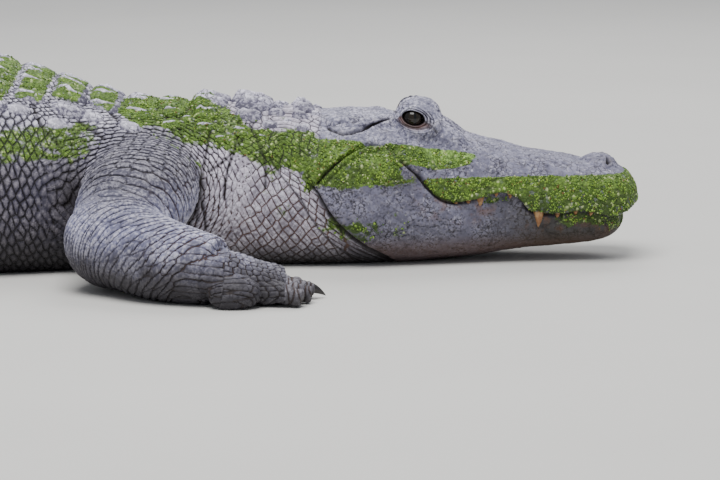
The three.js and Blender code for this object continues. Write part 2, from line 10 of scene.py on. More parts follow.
import bmesh
import bpy
import numpy as np
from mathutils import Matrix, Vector

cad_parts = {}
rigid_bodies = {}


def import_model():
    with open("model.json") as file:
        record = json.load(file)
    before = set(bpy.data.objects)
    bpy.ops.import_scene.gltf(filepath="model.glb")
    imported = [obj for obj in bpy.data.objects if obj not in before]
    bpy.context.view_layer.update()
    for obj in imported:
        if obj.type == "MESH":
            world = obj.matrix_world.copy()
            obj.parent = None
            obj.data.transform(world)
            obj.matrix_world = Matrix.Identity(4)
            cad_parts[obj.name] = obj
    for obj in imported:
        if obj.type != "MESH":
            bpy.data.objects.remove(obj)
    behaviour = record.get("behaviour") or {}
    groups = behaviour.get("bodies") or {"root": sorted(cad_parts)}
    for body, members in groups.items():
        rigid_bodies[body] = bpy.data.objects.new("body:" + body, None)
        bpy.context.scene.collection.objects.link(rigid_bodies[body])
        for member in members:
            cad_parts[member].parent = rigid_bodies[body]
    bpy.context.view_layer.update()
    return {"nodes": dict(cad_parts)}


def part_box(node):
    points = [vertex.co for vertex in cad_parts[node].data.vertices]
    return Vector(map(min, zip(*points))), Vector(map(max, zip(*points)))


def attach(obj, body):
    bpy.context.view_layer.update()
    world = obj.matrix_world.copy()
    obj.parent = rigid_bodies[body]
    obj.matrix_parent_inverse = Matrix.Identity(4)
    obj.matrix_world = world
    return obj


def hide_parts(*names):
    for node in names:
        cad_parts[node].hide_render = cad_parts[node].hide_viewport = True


bl_info = {
    "name": "American Alligator",
    "version": (1, 0, 0),
    "blender": (4, 5, 0),
    "location": "View3D > Sidebar > Alligator",
    "description": "Hide, scutes, eyes, teeth, claws and duckweed for a resting alligator",
    "category": "Object",
}

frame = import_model()
BODY_NAME = "root"
MM = 0.001

# Sizes of the animal
TOTAL_LENGTH = 3200 * MM
SNOUT_X = 1100 * MM
VENT = 1560 * MM
SCUTE_ROW = 51 * MM
SCUTE_COLUMN = 44 * MM
WHORL = 45 * MM
CREST_JOINS = 2360 * MM
ABOVE_FLOOR = 0.0003

# Sections of the body in millimetres: s, half width, top, height of the widest line, underside.
BODY = MM * np.array([
    [330, 96, 150, 70, -6],
    [400, 118, 190, 90, -8],
    [450, 127, 211, 96, -10],
    [520, 127, 219, 100, -12],
    [600, 134, 223, 101, -14],
    [690, 150, 223, 100, -16],
    [770, 168, 235, 100, -20],
    [840, 190, 258, 102, -22],
    [912, 212, 278, 106, -24],
    [1000, 228, 293, 110, -26],
    [1120, 238, 300, 112, -26],
    [1250, 226, 290, 110, -24],
    [1350, 198, 272, 105, -20],
    [1430, 166, 250, 100, -16],
    [1520, 134, 222, 92, -12],
    [1600, 117, 202, 86, -10],
    [1800, 97, 176, 76, -8],
    [2000, 81, 156, 68, -7],
    [2200, 66, 136, 60, -6],
    [2400, 53, 115, 51, -5],
    [2600, 41, 93, 41, -4],
    [2800, 29, 69, 30, -3],
    [3000, 18, 43, 18, -2],
    [3120, 11, 26, 11, -1.5],
    [3200, 4, 11, 5, -1],
])
UPPER_JAW = MM * np.array([
    [0, 70, 134, 90, 48],
    [70, 76, 140, 90, 48],
    [110, 76, 149, 90, 48],
    [150, 78, 155, 92, 50],
    [200, 88, 164, 98, 60],
    [250, 95, 176, 98, 60],
    [300, 101, 188, 112, 70],
    [345, 106, 197, 138, 100],
    [400, 112, 200, 150, 110],
    [460, 112, 200, 150, 110],
])
LOWER_JAW = MM * np.array([
    [20, 60, 92, 60, 28],
    [60, 64, 100, 58, 25],
    [110, 69, 110, 58, 20],
    [170, 76, 120, 62, 15],
    [230, 88, 135, 64, 6],
    [290, 104, 160, 72, 0],
    [345, 121, 186, 92, -5],
    [390, 133, 196, 104, -8],
    [430, 136, 196, 106, -8],
    [475, 132, 190, 104, -8],
])
SKULL_TABLE = MM * np.array([
    [346, 46, 204, 192, 178],
    [356, 53, 209, 194, 178],
    [384, 59, 212, 195, 178],
    [420, 63, 212, 195, 178],
    [456, 66, 209, 194, 178],
])

# Lines on the head in the side view, in millimetres: s, z.
MOUTH_LINE = MM * np.array([
    [-20, 84], [2, 80], [16, 71], [34, 65], [84, 74], [108, 70], [134, 70], [160, 76],
    [176, 93], [198, 102], [230, 94], [261, 90], [282, 95], [298, 108], [316, 131],
    [335, 151], [356, 170], [380, 178], [406, 171], [428, 157], [446, 141], [460, 125],
])
JOWL_FOLD = MM * np.array([
    [508, 172], [491, 147], [462, 112], [452, 92], [430, 62], [396, 32], [356, 6], [335, -30],
])
# Long creases that run up the neck from the front of the shoulder, in the side view: s, z.
SKIN_LINES = [MM * np.array(line) for line in (
    [[618, 59], [622, 99], [625, 125], [643, 161], [663, 190], [679, 217], [689, 233]],
    [[630, 73], [628, 105], [630, 138], [648, 176], [663, 217], [669, 234]],
    [[622, 125], [618, 161], [612, 193], [605, 217], [588, 234]],
    [[612, 141], [586, 160], [562, 189], [541, 218]],
    [[642, 138], [659, 160], [677, 175], [699, 188]],
    [[592, 103], [588, 138], [576, 174], [571, 208]],
    [[534, 117], [534, 152], [545, 180], [557, 200]],
    [[684, 175], [656, 210], [628, 230]],
    [[720, 196], [750, 215], [772, 246]],
    [[760, 188], [800, 215], [822, 252]],
    [[820, 180], [850, 214], [872, 262]],
)]
TEAR_LINE = MM * np.array([[310, 206], [304, 202.5], [298, 199], [291, 190]])
LID_LINE = MM * np.array([[351, 206], [333, 199.5], [316, 195], [300, 197.3]])
EAR_SLIT = MM * np.array([
    [348, 212], [357, 208], [370, 203], [385, 198], [403, 192.5], [422, 190], [437, 192.5], [449, 198],
])
# Width of the strip of narrow scales behind the jowl's fold.
FOLD_STRIP = 24 * MM

# Edges of the duckweed in the side view, in millimetres: s, z.
CHEEK_WEED_LOW = MM * np.array([[232, 148], [263, 140.5], [295, 139], [328, 150], [345, 150], [380, 110]])
CHEEK_WEED_HIGH = MM * np.array([[232, 158], [304, 168], [345, 176], [400, 180], [485, 186]])
BACK_WEED_LOW = MM * np.array([
    [460, 138], [501, 148], [574, 163], [628, 174], [673, 178], [713, 203], [772, 226], [826, 238],
    [912, 243], [1400, 240],
])
BACK_WEED_HIGH = MM * np.array([[440, 190], [519, 196], [555, 202], [592, 219], [628, 240], [660, 400]])
WEED_SOFT = 3 * MM

# The backbone in plan: s in millimetres, then its turn in thousandths of a radian.
HEADING = MM * np.array([
    [0, 0], [1350, 0], [1700, 200], [2100, 420], [2500, 300], [2900, -250], [3200, -600],
])

FRONT_FOOT = {
    "palm": (80 * MM, 94 * MM), "wrist": 42 * MM, "toe": 15.5 * MM, "web": 0.42, "splay": 1.05, "plump": 0.6,
    "claw": 19 * MM, "toes": (58 * MM, 76 * MM, 80 * MM, 70 * MM, 54 * MM),
}
HIND_FOOT = {
    "palm": (88 * MM, 84 * MM), "wrist": 34 * MM, "toe": 11 * MM, "web": 0.66, "splay": 0.85,
    "claw": 21 * MM, "toes": (78 * MM, 98 * MM, 104 * MM, 88 * MM), "plump": 0.4,
}
CLAWED_TOES = 3
# Joints in millimetres: x, y, z, radius across, radius up.
LEGS = {
    "front_right": (-1, 0.3, FRONT_FOOT, MM * np.array([
        [402, -90, 128, 82, 66], [388, -195, 112, 80, 67], [364, -306, 70, 66, 62],
        [434, -374, 54, 58, 56], [504, -406, 44, 48, 46]])),
    "front_left": (1, -0.12, FRONT_FOOT, MM * np.array([
        [402, 90, 128, 82, 66], [372, 185, 110, 80, 66], [325, 286, 66, 66, 60],
        [392, 342, 52, 58, 54], [464, 374, 43, 46, 44]])),
    "hind_right": (-1, -0.42, HIND_FOOT, MM * np.array([
        [-330, -60, 122, 96, 84], [-275, -170, 110, 88, 78], [-190, -270, 84, 62, 62],
        [-262, -346, 58, 52, 50], [-338, -400, 42, 37, 37]])),
    "hind_left": (1, 0.3, HIND_FOOT, MM * np.array([
        [-330, 60, 122, 96, 84], [-290, 172, 110, 88, 78], [-220, 276, 84, 62, 62],
        [-300, 350, 58, 52, 50], [-382, 398, 42, 37, 37]])),
}
LEG_SIDES = np.array([leg[0] for leg in LEGS.values()])
# The joint at the elbow or the knee, and the stops along each half of a leg and along its toes.
HINGE = 2
LEG_STOPS = 40
TOE_STOPS = 20
LEG_LOOSE = 0.55

EYE_CENTRE = sum((np.array(corner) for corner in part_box("eye_left")), np.zeros(3)) / 2
EYE_RADIUS = 0.5 * (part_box("eye_left")[1].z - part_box("eye_left")[0].z)
EYE_TILT = 0.26
EYE_GAZE = math.radians(14)
EYE_AREA = 0.034
# Creases round the lids: their distance in openings of the eye, depth inwards and depth downwards.
LID_CREASES = ((1.27, 2.0, 1.3), (1.5, 2.2, 1.5), (1.8, 1.8, 1.2), (2.1, 1.2, 0.0))
NOSTRIL_RINGS = (2.3, 3.1, 3.9)

# Neck scutes in millimetres: s, distance from the midline, length, width, height.
NECK_SCUTES = MM * np.array([
    [484, 20, 32, 28, 15], [486, 50, 26, 22, 11], [520, 46, 24, 22, 9], [516, 16, 22, 20, 7],
    [552, 22, 56, 42, 20], [616, 21, 54, 40, 21], [560, 62, 40, 31, 14], [618, 60, 38, 29, 14],
    [670, 20, 36, 30, 11], [664, 56, 30, 26, 9], [528, 80, 24, 20, 7], [570, 96, 26, 22, 8],
    [622, 92, 26, 22, 8], [486, 82, 20, 17, 7], [668, 90, 26, 22, 6], [505, 66, 16, 14, 5],
    [540, 104, 18, 16, 5], [596, 112, 18, 16, 5], [644, 76, 18, 16, 6], [462, 34, 16, 16, 7],
])
# Plates of the back: how deep they sink, their points along and across, and where the keel is highest.
SCUTE_SINK = 6 * MM
SCUTE_GRID = (17, 15)
SCUTE_PEAK = 0.48
FIRST_ROW = 712 * MM

# Teeth that show under the upper lip, in millimetres: s, length.
TEETH = MM * np.array([
    [70, 4], [92, 3], [118, 5], [145, 19], [186, 4], [206, 3], [229, 11], [246, 5], [264, 4], [282, 3],
])

# Duckweed: corners of a frond, its share of the UV map, and the stretch of x that each piece covers.
FROND_SIDES = 6
PATCH = 0.003
WEED_STRETCHES = {
    "duckweed_head": (SNOUT_X - 0.46, 2.0),
    "duckweed_neck": (SNOUT_X - 0.75, SNOUT_X - 0.46),
    "duckweed_back": (-2.0, SNOUT_X - 0.75),
}

# The studio: lamps by place, aim, size and power, then the sky and the camera.
LAMPS = {
    "key": ((0.2, -1.6, 4.2), (0.6, 0, 0.1), 3.0, 225),
    "rim": ((1.2, 2.6, 3.0), (0.5, 0, 0.1), 2.4, 70),
}
SKY = (0.86, 0.9, 1.0, 1)
SKY_STRENGTH = 0.47
CAMERA_AIM = (0.70, -0.09, 0.037)
CAMERA_DISTANCE = 5.7
CAMERA_ELEVATION = math.radians(9)
CAMERA_LENS = 200
CAMERA_SENSOR = 36

# Roundness of the body's section above and below its widest line, and of the head's.
POWER_ABOVE = 2.25
POWER_BELOW = 2.7
POWER_HEAD = 2.8
POWER_TABLE = 6.0


def smooth(x, low, high):
    """Rises smoothly from 0 at low to 1 at high."""
    t = np.clip((x - low) / (high - low), 0, 1)
    return t * t * (3 - 2 * t)


def bell(x, width):
    """Falls from 1 at x = 0 to nothing within about two widths."""
    return np.exp(-((x / width) ** 2))


def span(x, low, full, fading, high):
    """Rises from 0 at low to 1 at full, and falls again from fading to high."""
    return smooth(x, low, full) * (1 - smooth(x, fading, high))


def lerp(a, b, t):
    return a + (b - a) * t


def hermite(p, q, m, n, t):
    """A cubic from p to q with the slopes m and n, already times the step."""
    return ((2 * t**3 - 3 * t**2 + 1) * p + (t**3 - 2 * t**2 + t) * m
            + (3 * t**2 - 2 * t**3) * q + (t**3 - t**2) * n)


def track(table):
    """Smooth curves through a table's columns, with no overshoot between its rows."""
    at, values = table[:, 0], table[:, 1:]
    step = np.diff(at)[:, None]
    slope = np.diff(values, axis=0) / step
    total = slope[:-1] + slope[1:]
    product = slope[:-1] * slope[1:]
    inner = np.where(product > 0, 2 * product / np.where(total == 0, 1, total), 0)
    tangent = np.vstack([slope[:1], inner, slope[-1:]])

    def curve(s):
        i = np.clip(np.searchsorted(at, s, "right") - 1, 0, len(at) - 2)
        t = np.clip((s - at[i])[..., None] / step[i], 0, 1)
        return hermite(values[i], values[i + 1], tangent[i] * step[i], tangent[i + 1] * step[i], t)

    return curve


body = track(BODY)
upper_jaw = track(UPPER_JAW)
lower_jaw = track(LOWER_JAW)
skull_table = track(SKULL_TABLE)
lip = track(MOUTH_LINE)
heading = track(HEADING)

STEP = 5 * MM
STOPS = np.arange(0, TOTAL_LENGTH + STEP / 2, STEP)
TURNS = heading(STOPS[:-1] + STEP / 2)[:, 0]
SPINE_X = SNOUT_X - np.concatenate([[0], np.cumsum(STEP * np.cos(TURNS))])
SPINE_Y = np.concatenate([[0], np.cumsum(STEP * np.sin(TURNS))])


def on_spine(s):
    """The backbone's x, y and turn at a distance behind the snout tip."""
    return np.interp(s, STOPS, SPINE_X), np.interp(s, STOPS, SPINE_Y), heading(s)[..., 0]


def along_spine(x, y):
    """The distance behind the snout tip of points, and how far they lie to the left of the backbone."""
    s = np.where(x > SPINE_X[0], SNOUT_X - x, np.interp(-x, -SPINE_X, STOPS))
    for _ in range(3):
        px, py, turn = on_spine(s)
        nearer = s + (px - x) * np.cos(turn) + (y - py) * np.sin(turn)
        s = np.where(s > 0, np.clip(nearer, 0, TOTAL_LENGTH), s)
    px, py, turn = on_spine(s)
    return s, (x - px) * np.sin(turn) + (y - py) * np.cos(turn)


def section(angle, half, top, level, under, power_above=POWER_ABOVE):
    """A point of an oval section, rounder above its widest line than below."""
    c, d = np.cos(angle), np.sin(angle)
    power = np.where(d > 0, power_above, POWER_BELOW)
    across = np.sign(c) * half * np.abs(c) ** (2 / power)
    return across, level + np.where(d > 0, top - level, under - level) * np.abs(d) ** (2 / power)


def body_point(s, angle):
    half, top, level, under = np.moveaxis(body(s), -1, 0)
    across, z = section(angle, half, top, level, under)
    x, y, turn = on_spine(s)
    return np.stack([x + across * np.sin(turn), y + across * np.cos(turn), z], -1)


GIRTH_FROM = 330 * MM
GIRTH_STEP = 0.01
GIRTH_COLUMNS = 180
GIRTH_S = np.arange(0.32, TOTAL_LENGTH, GIRTH_STEP)
GIRTH_ANGLE = np.linspace(math.pi / 2, -math.pi / 2, GIRTH_COLUMNS + 1)


def girth_table():
    """The way round from the midline of the back to each angle, at each stop along the body."""
    ring = body_point(GIRTH_S[:, None], GIRTH_ANGLE[None, :])
    steps = np.linalg.norm(np.diff(ring, axis=1), axis=2)
    return np.concatenate([np.zeros((len(GIRTH_S), 1)), np.cumsum(steps, axis=1)], axis=1)


GIRTH = girth_table()


def girth_row(s):
    return np.clip((s - GIRTH_S[0]) / GIRTH_STEP, 0, len(GIRTH_S) - 1.001)


def girth(s, across, z):
    """The way round from the midline of the back, its share of the half girth, and the height over it."""
    half, top, level, under = np.moveaxis(body(s), -1, 0)
    above = z > level
    power = np.where(above, POWER_ABOVE, POWER_BELOW)
    rise = np.abs(z - level) / np.where(above, top - level, level - under)
    wide = np.abs(across) / half
    angle = np.arctan2(rise ** (power / 2) * np.where(above, 1, -1), wide ** (power / 2))
    row = girth_row(s)
    column = np.clip((math.pi / 2 - angle) / math.pi * GIRTH_COLUMNS, 0, GIRTH_COLUMNS - 0.001)
    i, j = row.astype(int), column.astype(int)
    v, w = row - i, column - j
    way = lerp(lerp(GIRTH[i, j], GIRTH[i + 1, j], v), lerp(GIRTH[i, j + 1], GIRTH[i + 1, j + 1], v), w)
    depth = ((wide**power + rise**power) ** (1 / power) - 1) * np.minimum(half, top - level)
    return way, way / lerp(GIRTH[i, -1], GIRTH[i + 1, -1], v), depth


def curve_points(points, t):
    """Points of a smooth curve through the given ones, at t from 0 to 1."""
    p = np.asarray(points, float)
    p = np.vstack([2 * p[:1] - p[1:2], p, 2 * p[-1:] - p[-2:-1]])
    at = np.clip(t, 0, 1) * (len(p) - 3)
    i = np.minimum(at.astype(int), len(p) - 4)
    a, b, c, d = (p[i + k] for k in range(4))
    first, mid, last = (np.linalg.norm(v - u, axis=1)[:, None] ** 0.5 for u, v in ((a, b), (b, c), (c, d)))
    m = ((b - a) / first - (c - a) / (first + mid) + (c - b) / mid) * mid
    n = ((c - b) / mid - (d - b) / (mid + last) + (d - c) / last) * mid
    return hermite(b, c, m, n, (at - i)[:, None])


def unit(v):
    return v / np.linalg.norm(v, axis=-1, keepdims=True)


def loft(rings):
    """A closed form through rings of points: its points and faces."""
    count, sides = rings.shape[:2]
    i, j = np.meshgrid(np.arange(count - 1), np.arange(sides), indexing="ij")
    k = (j + 1) % sides
    quads = np.stack([i * sides + j, i * sides + k, (i + 1) * sides + k, (i + 1) * sides + j], -1)
    ends = [list(range(sides))[::-1], list(range((count - 1) * sides, count * sides))]
    return rings.reshape(-1, 3), quads.reshape(-1, 4).tolist() + ends


def tube_frame(centres):
    """Directions along a line of points, level across it, and up from it."""
    along = unit(np.gradient(centres, axis=0))
    across = unit(np.cross([0, 0, 1], along))
    return along, across, np.cross(along, across)


def tube(joints, sides=24, steps=24):
    """A fleshy tube along joints: x, y, z, radius across, radius up."""
    joints = np.asarray(joints, float)
    t = np.linspace(0, 1, steps + 1)
    centres = curve_points(joints[:, :3], t)
    _, across, up = tube_frame(centres)
    radii = track(np.column_stack([np.linspace(0, 1, len(joints)), joints[:, 3:]]))(t)
    angle = np.linspace(0, 2 * math.pi, sides, endpoint=False)[None, :, None]
    return loft(centres[:, None] + across[:, None] * radii[:, None, :1] * np.cos(angle)
                + up[:, None] * radii[:, None, 1:] * np.sin(angle))


def ball(centre, radii, pitch=0.0, sides=32):
    """An oval ball about (s, y, z), pitched about the level axis across the head."""
    theta = np.linspace(0.001, math.pi - 0.001, sides)[:, None]
    phi = np.linspace(0, 2 * math.pi, sides, endpoint=False)[None, :]
    x = radii[0] * np.cos(phi) * np.sin(theta)
    z = radii[2] * np.cos(theta) * np.ones_like(phi)
    y = radii[1] * np.sin(phi) * np.sin(theta)
    turned = (x * math.cos(pitch) + z * math.sin(pitch), y, z * math.cos(pitch) - x * math.sin(pitch))
    s, side, height = centre
    return loft(np.stack(turned, -1) + np.array([SNOUT_X - s, side, height]))


def trunk_form():
    s = np.concatenate([np.arange(0.331, TOTAL_LENGTH - 0.01, 0.01), [TOTAL_LENGTH]])
    angle = np.linspace(0, 2 * math.pi, 96, endpoint=False)
    return loft(body_point(s[:, None], angle[None, :]))


def jaw_form(columns, start, end, reach, power=POWER_HEAD, floor=None, fold=False):
    """A jaw's loft, its front rounded over in plan and in height."""
    front = start + reach * (1 - np.cos(np.linspace(0, 1, 12, endpoint=False) * math.pi / 2)) + 0.6 * MM
    s = np.concatenate([front, np.arange(start + reach, end, 6 * MM), [end]])
    half, top, level, under = columns(s).T[:, :, None]
    ahead = np.clip(1 - (s - start) / reach, 0, 1)[:, None]
    full = (1 - ahead**2.6) ** (1 / 2.2)
    angle = np.linspace(0, 2 * math.pi, 72, endpoint=False)[None, :]
    y, z = section(angle, half * full, level + (top - level) * full, level,
                   level + (under - level) * full, power)
    s = s[:, None] * np.ones_like(z)
    if floor is not None:
        z = np.maximum(z, floor(s)[..., 0])
    if fold:
        s = np.minimum(s, np.interp(z, JOWL_FOLD[::-1, 1], JOWL_FOLD[::-1, 0]))
    return loft(np.stack([SNOUT_X - s, y, z], -1))


def skull_forms():
    """Both jaws, the jowls, the skull table, the brows and the bump that carries the nostrils."""
    forms = [
        jaw_form(upper_jaw, 0, 459 * MM, 56 * MM, floor=lip),
        jaw_form(lower_jaw, 20 * MM, 475 * MM, 58 * MM, fold=True),
        jaw_form(skull_table, 346 * MM, 456 * MM, 6 * MM, power=POWER_TABLE),
        ball((56 * MM, 0, 131 * MM), (28 * MM, 44 * MM, 20 * MM), 0.08),
    ]
    for side in (-1, 1):
        forms.append(ball((372 * MM, side * 108 * MM, 140 * MM), (58 * MM, 26 * MM, 27 * MM)))
        forms.append(ball((315 * MM, side * 52 * MM, 197 * MM), (34 * MM, 33 * MM, 30 * MM), 0.05))
        forms.append(ball((284 * MM, side * 44 * MM, 178 * MM), (46 * MM, 27 * MM, 20 * MM), 0.46))
    return forms


def foot_places(wrist, turn, side, plan):
    """How a foot lies: a function from along, aside and height to a point, and each toe's root and fan."""
    forward = np.array([math.cos(turn), math.sin(turn), 0])
    left = np.array([-math.sin(turn), math.cos(turn), 0])
    long, wide = plan["palm"]
    spread = np.linspace(-0.5, 0.5, len(plan["toes"])) * side

    def place(along, aside, z):
        flat = np.array([wrist[0], wrist[1], 0]) + forward * along + left * aside
        return flat + np.array([0, 0, z])

    def reach(i, t):
        fan = plan["splay"] * spread[i]
        length = plan["toes"][i] * t
        return long * 0.72 + length * math.cos(fan), wide * 0.78 * spread[i] + length * math.sin(fan)

    return place, reach


def foot_forms(wrist, turn, side, plan):
    place, reach = foot_places(wrist, turn, side, plan)
    long, wide = plan["palm"]
    toe, thick = plan["toe"], plan["wrist"]
    forms = [tube([
        [*place(-22 * MM, 0, wrist[2]), thick * 0.9, thick * 0.86],
        [*place(long * 0.35, 0, wrist[2] * 0.78), wide * 0.44, thick * 0.8],
        [*place(long * 0.8, 0, wrist[2] * plan["plump"]), wide * 0.48, thick * plan["plump"] * 1.1],
        [*place(long * 1.15, 0, wrist[2] * plan["plump"] * 0.85), wide * 0.4, thick * plan["plump"]],
    ])]
    if plan is FRONT_FOOT:
        x, y, z = place(14 * MM, side * 44 * MM, 21 * MM)
        forms.append(ball((SNOUT_X - x, y, z), (36 * MM, 22 * MM, 24 * MM)))
    lifts = (1.1, 1.25, 0.95, 0.8)
    for i in range(len(plan["toes"])):
        knuckles = []
        for t, lift in zip((0, 0.4, 0.75, 1), lifts):
            knuckles.append([*place(*reach(i, t), toe * lift), toe * (1.1 - 0.35 * t), toe * (1 - 0.3 * t)])
        forms.append(tube(knuckles, 16, 16))
    for i in range(len(plan["toes"]) - 1):
        a, b = reach(i, plan["web"]), reach(i + 1, plan["web"])
        middle = ((a[0] + b[0]) / 2, (a[1] + b[1]) / 2)
        forms.append(tube([
            [*place(long * 0.6, middle[1] * 0.8, toe), toe * 1.2, toe * 0.75],
            [*place(middle[0] * 0.9, middle[1], toe * 0.9), toe * 1.5, toe * 0.55],
            [*place(middle[0], middle[1], toe * 0.7), toe * 0.9, toe * 0.3],
        ], 12, 8))
    return forms


def leg_forms():
    forms = []
    for side, turn, plan, joints in LEGS.values():
        x, y, z, wide, high = joints[HINGE]
        forms.append(tube(joints[:HINGE + 1]))
        forms.append(tube(joints[HINGE:]))
        forms.append(ball((SNOUT_X - x, y, z), (wide * 1.08, wide * 1.08, high * 1.08)))
        forms += foot_forms(joints[-1][:3], turn, side, plan)
    return forms


def mesh_of(name, points, faces):
    mesh = bpy.data.meshes.new(name)
    mesh.from_pydata(np.asarray(points).tolist(), [], faces)
    return mesh


def joined(forms):
    """Several forms as one list of points and one of faces."""
    points, faces, start = [], [], 0
    for part_points, part_faces in forms:
        points.append(part_points)
        faces += [[start + i for i in face] for face in part_faces]
        start += len(part_points)
    return np.vstack(points), faces


def added(name, mesh, material):
    piece = bpy.data.objects.new(name, mesh)
    bpy.context.scene.collection.objects.link(piece)
    mesh.materials.append(material)
    return piece


def evaluated(piece):
    """The piece's mesh with its modifiers applied, and the piece removed."""
    graph = bpy.context.evaluated_depsgraph_get()
    mesh = bpy.data.meshes.new_from_object(piece.evaluated_get(graph))
    old = piece.data
    bpy.data.objects.remove(piece)
    bpy.data.meshes.remove(old)
    return mesh


def points_of(mesh):
    points = np.empty(len(mesh.vertices) * 3, np.float32)
    mesh.vertices.foreach_get("co", points)
    return points.reshape(-1, 3).astype(float)


def set_points(mesh, points):
    mesh.vertices.foreach_set("co", points.astype(np.float32).ravel())
    mesh.update()


def normals_of(mesh):
    normals = np.empty(len(mesh.vertices) * 3, np.float32)
    mesh.vertex_normals.foreach_get("vector", normals)
    return normals.reshape(-1, 3).astype(float)


def store(mesh, name, values):
    """Keeps one number or one vector for each point of the mesh."""
    values = np.asarray(values, np.float32)
    kind = "FLOAT" if values.ndim == 1 else "FLOAT_VECTOR"
    attribute = mesh.attributes.new(name, kind, "POINT")
    attribute.data.foreach_set("value" if values.ndim == 1 else "vector", values.ravel())


def read(mesh, name, width=1):
    values = np.empty(len(mesh.vertices) * width, np.float32)
    mesh.attributes[name].data.foreach_get("value" if width == 1 else "vector", values)
    return values if width == 1 else values.reshape(-1, width)


def edges_of(mesh):
    edges = np.empty(len(mesh.edges) * 2, np.int32)
    mesh.edges.foreach_get("vertices", edges)
    return edges.reshape(-1, 2)


def relaxed(points, edges, share, rounds):
    """Moves each point towards the middle of its neighbours, a share of the way each round."""
    count = len(points)
    ends = np.concatenate([edges[:, 0], edges[:, 1]])
    others = np.concatenate([edges[:, 1], edges[:, 0]])
    degree = np.maximum(np.bincount(ends, minlength=count), 1)
    share = np.broadcast_to(share, (count,))[:, None]
    points = points.copy()
    for _ in range(rounds):
        sums = [np.bincount(ends, column[others], count) for column in points.T]
        middle = np.stack(sums, -1) / degree[:, None]
        points += (middle - points) * share
    return points


def texture(points, kind, output, loose=None, inputs=(), **settings):
    """Evaluates one output of a procedural texture at each point."""
    mesh = bpy.data.meshes.new("samples")
    mesh.vertices.add(len(points))
    set_points(mesh, points)
    tree = bpy.data.node_groups.new("samples", "GeometryNodeTree")
    for way in ("INPUT", "OUTPUT"):
        tree.interface.new_socket("Geometry", in_out=way, socket_type="NodeSocketGeometry")
    node = tree.nodes.new(kind)
    for key, value in settings.items():
        setattr(node, key, value)
    for key, value in dict(inputs).items():
        node.inputs[key].default_value = value
    if loose is not None:
        store(mesh, "loose", loose)
        named = tree.nodes.new("GeometryNodeInputNamedAttribute")
        named.inputs["Name"].default_value = "loose"
        tree.links.new(named.outputs["Attribute"], node.inputs["Randomness"])
    place = tree.nodes.new("GeometryNodeInputPosition")
    tree.links.new(place.outputs[0], node.inputs["Vector"])
    keep = tree.nodes.new("GeometryNodeStoreNamedAttribute")
    keep.data_type = "FLOAT_VECTOR" if output == "Position" else "FLOAT"
    keep.inputs["Name"].default_value = "found"
    tree.links.new(tree.nodes.new("NodeGroupInput").outputs[0], keep.inputs["Geometry"])
    tree.links.new(node.outputs[output], keep.inputs["Value"])
    tree.links.new(keep.outputs["Geometry"], tree.nodes.new("NodeGroupOutput").inputs[0])
    piece = bpy.data.objects.new("samples", mesh)
    bpy.context.scene.collection.objects.link(piece)
    piece.modifiers.new("Samples", "NODES").node_group = tree
    made = evaluated(piece)
    found = read(made, "found", 3 if output == "Position" else 1)
    bpy.data.meshes.remove(made)
    bpy.data.node_groups.remove(tree)
    return found


def noise(points, size, detail=2.0):
    """Soft noise from -1 to 1, with lumps of about the given size."""
    value = texture(points / size, "ShaderNodeTexNoise", "Fac", inputs={"Scale": 1.0, "Detail": detail})
    return np.clip((value - 0.5) * 3.2, -1, 1)


def cells(points, feature, output="Distance", loose=None, dimensions="2D"):
    """Cells round the points of a pattern: the distance to their edges, or their middles."""
    return texture(points, "ShaderNodeTexVoronoi", output, loose, {"Scale": 1.0},
                   voronoi_dimensions=dimensions, feature=feature)


def line_distance(s, z, line):
    """Signed distance in the side view to a line of (s, z), positive above it or behind it."""
    fine = curve_points(line, np.linspace(0, 1, 3 * len(line)))
    best = np.full(s.shape, 9.0)
    signed = np.zeros(s.shape)
    for a, b in zip(fine[:-1], fine[1:]):
        d = b - a
        off_s, off_z = s - a[0], z - a[1]
        t = np.clip((off_s * d[0] + off_z * d[1]) / (d @ d), 0, 1)
        off_s, off_z = off_s - t * d[0], off_z - t * d[1]
        gap = np.hypot(off_s, off_z)
        nearer = gap < best
        best = np.where(nearer, gap, best)
        signed = np.where(nearer, gap * np.sign(d[0] * off_z - d[1] * off_s + 1e-12), signed)
    return signed


def leg_path(turn, plan, joints):
    """The middle of a leg from the body to beyond the toes: points, the way along, and radii."""
    t = np.linspace(0, 1, LEG_STOPS)
    halves = (joints[:HINGE + 1], joints[HINGE:])
    upper, lower = (track(np.column_stack([np.linspace(0, 1, len(half)), half[:, 3:]]))(t) for half in halves)
    line = [curve_points(halves[0][:, :3], t), curve_points(halves[1][:, :3], t)[1:]]
    out = np.linspace(0, 1, TOE_STOPS)[1:, None]
    reach = plan["palm"][0] + max(plan["toes"])
    forward = np.array([math.cos(turn), math.sin(turn), 0]) * reach
    line.append(joints[-1, :3] + out * forward - [0, 0, 1] * out * (joints[-1, 2] - plan["toe"]))
    points = np.vstack(line)
    for _ in range(12):
        points[1:-1] = (points[:-2] + points[1:-1] + points[2:]) / 3
    radii = np.concatenate([upper.mean(1), lower.mean(1)[1:], np.full(TOE_STOPS - 1, plan["wrist"] * 0.8)])
    way = np.concatenate([[0], np.cumsum(np.linalg.norm(np.diff(points, axis=0), axis=1))])
    return points, way, radii


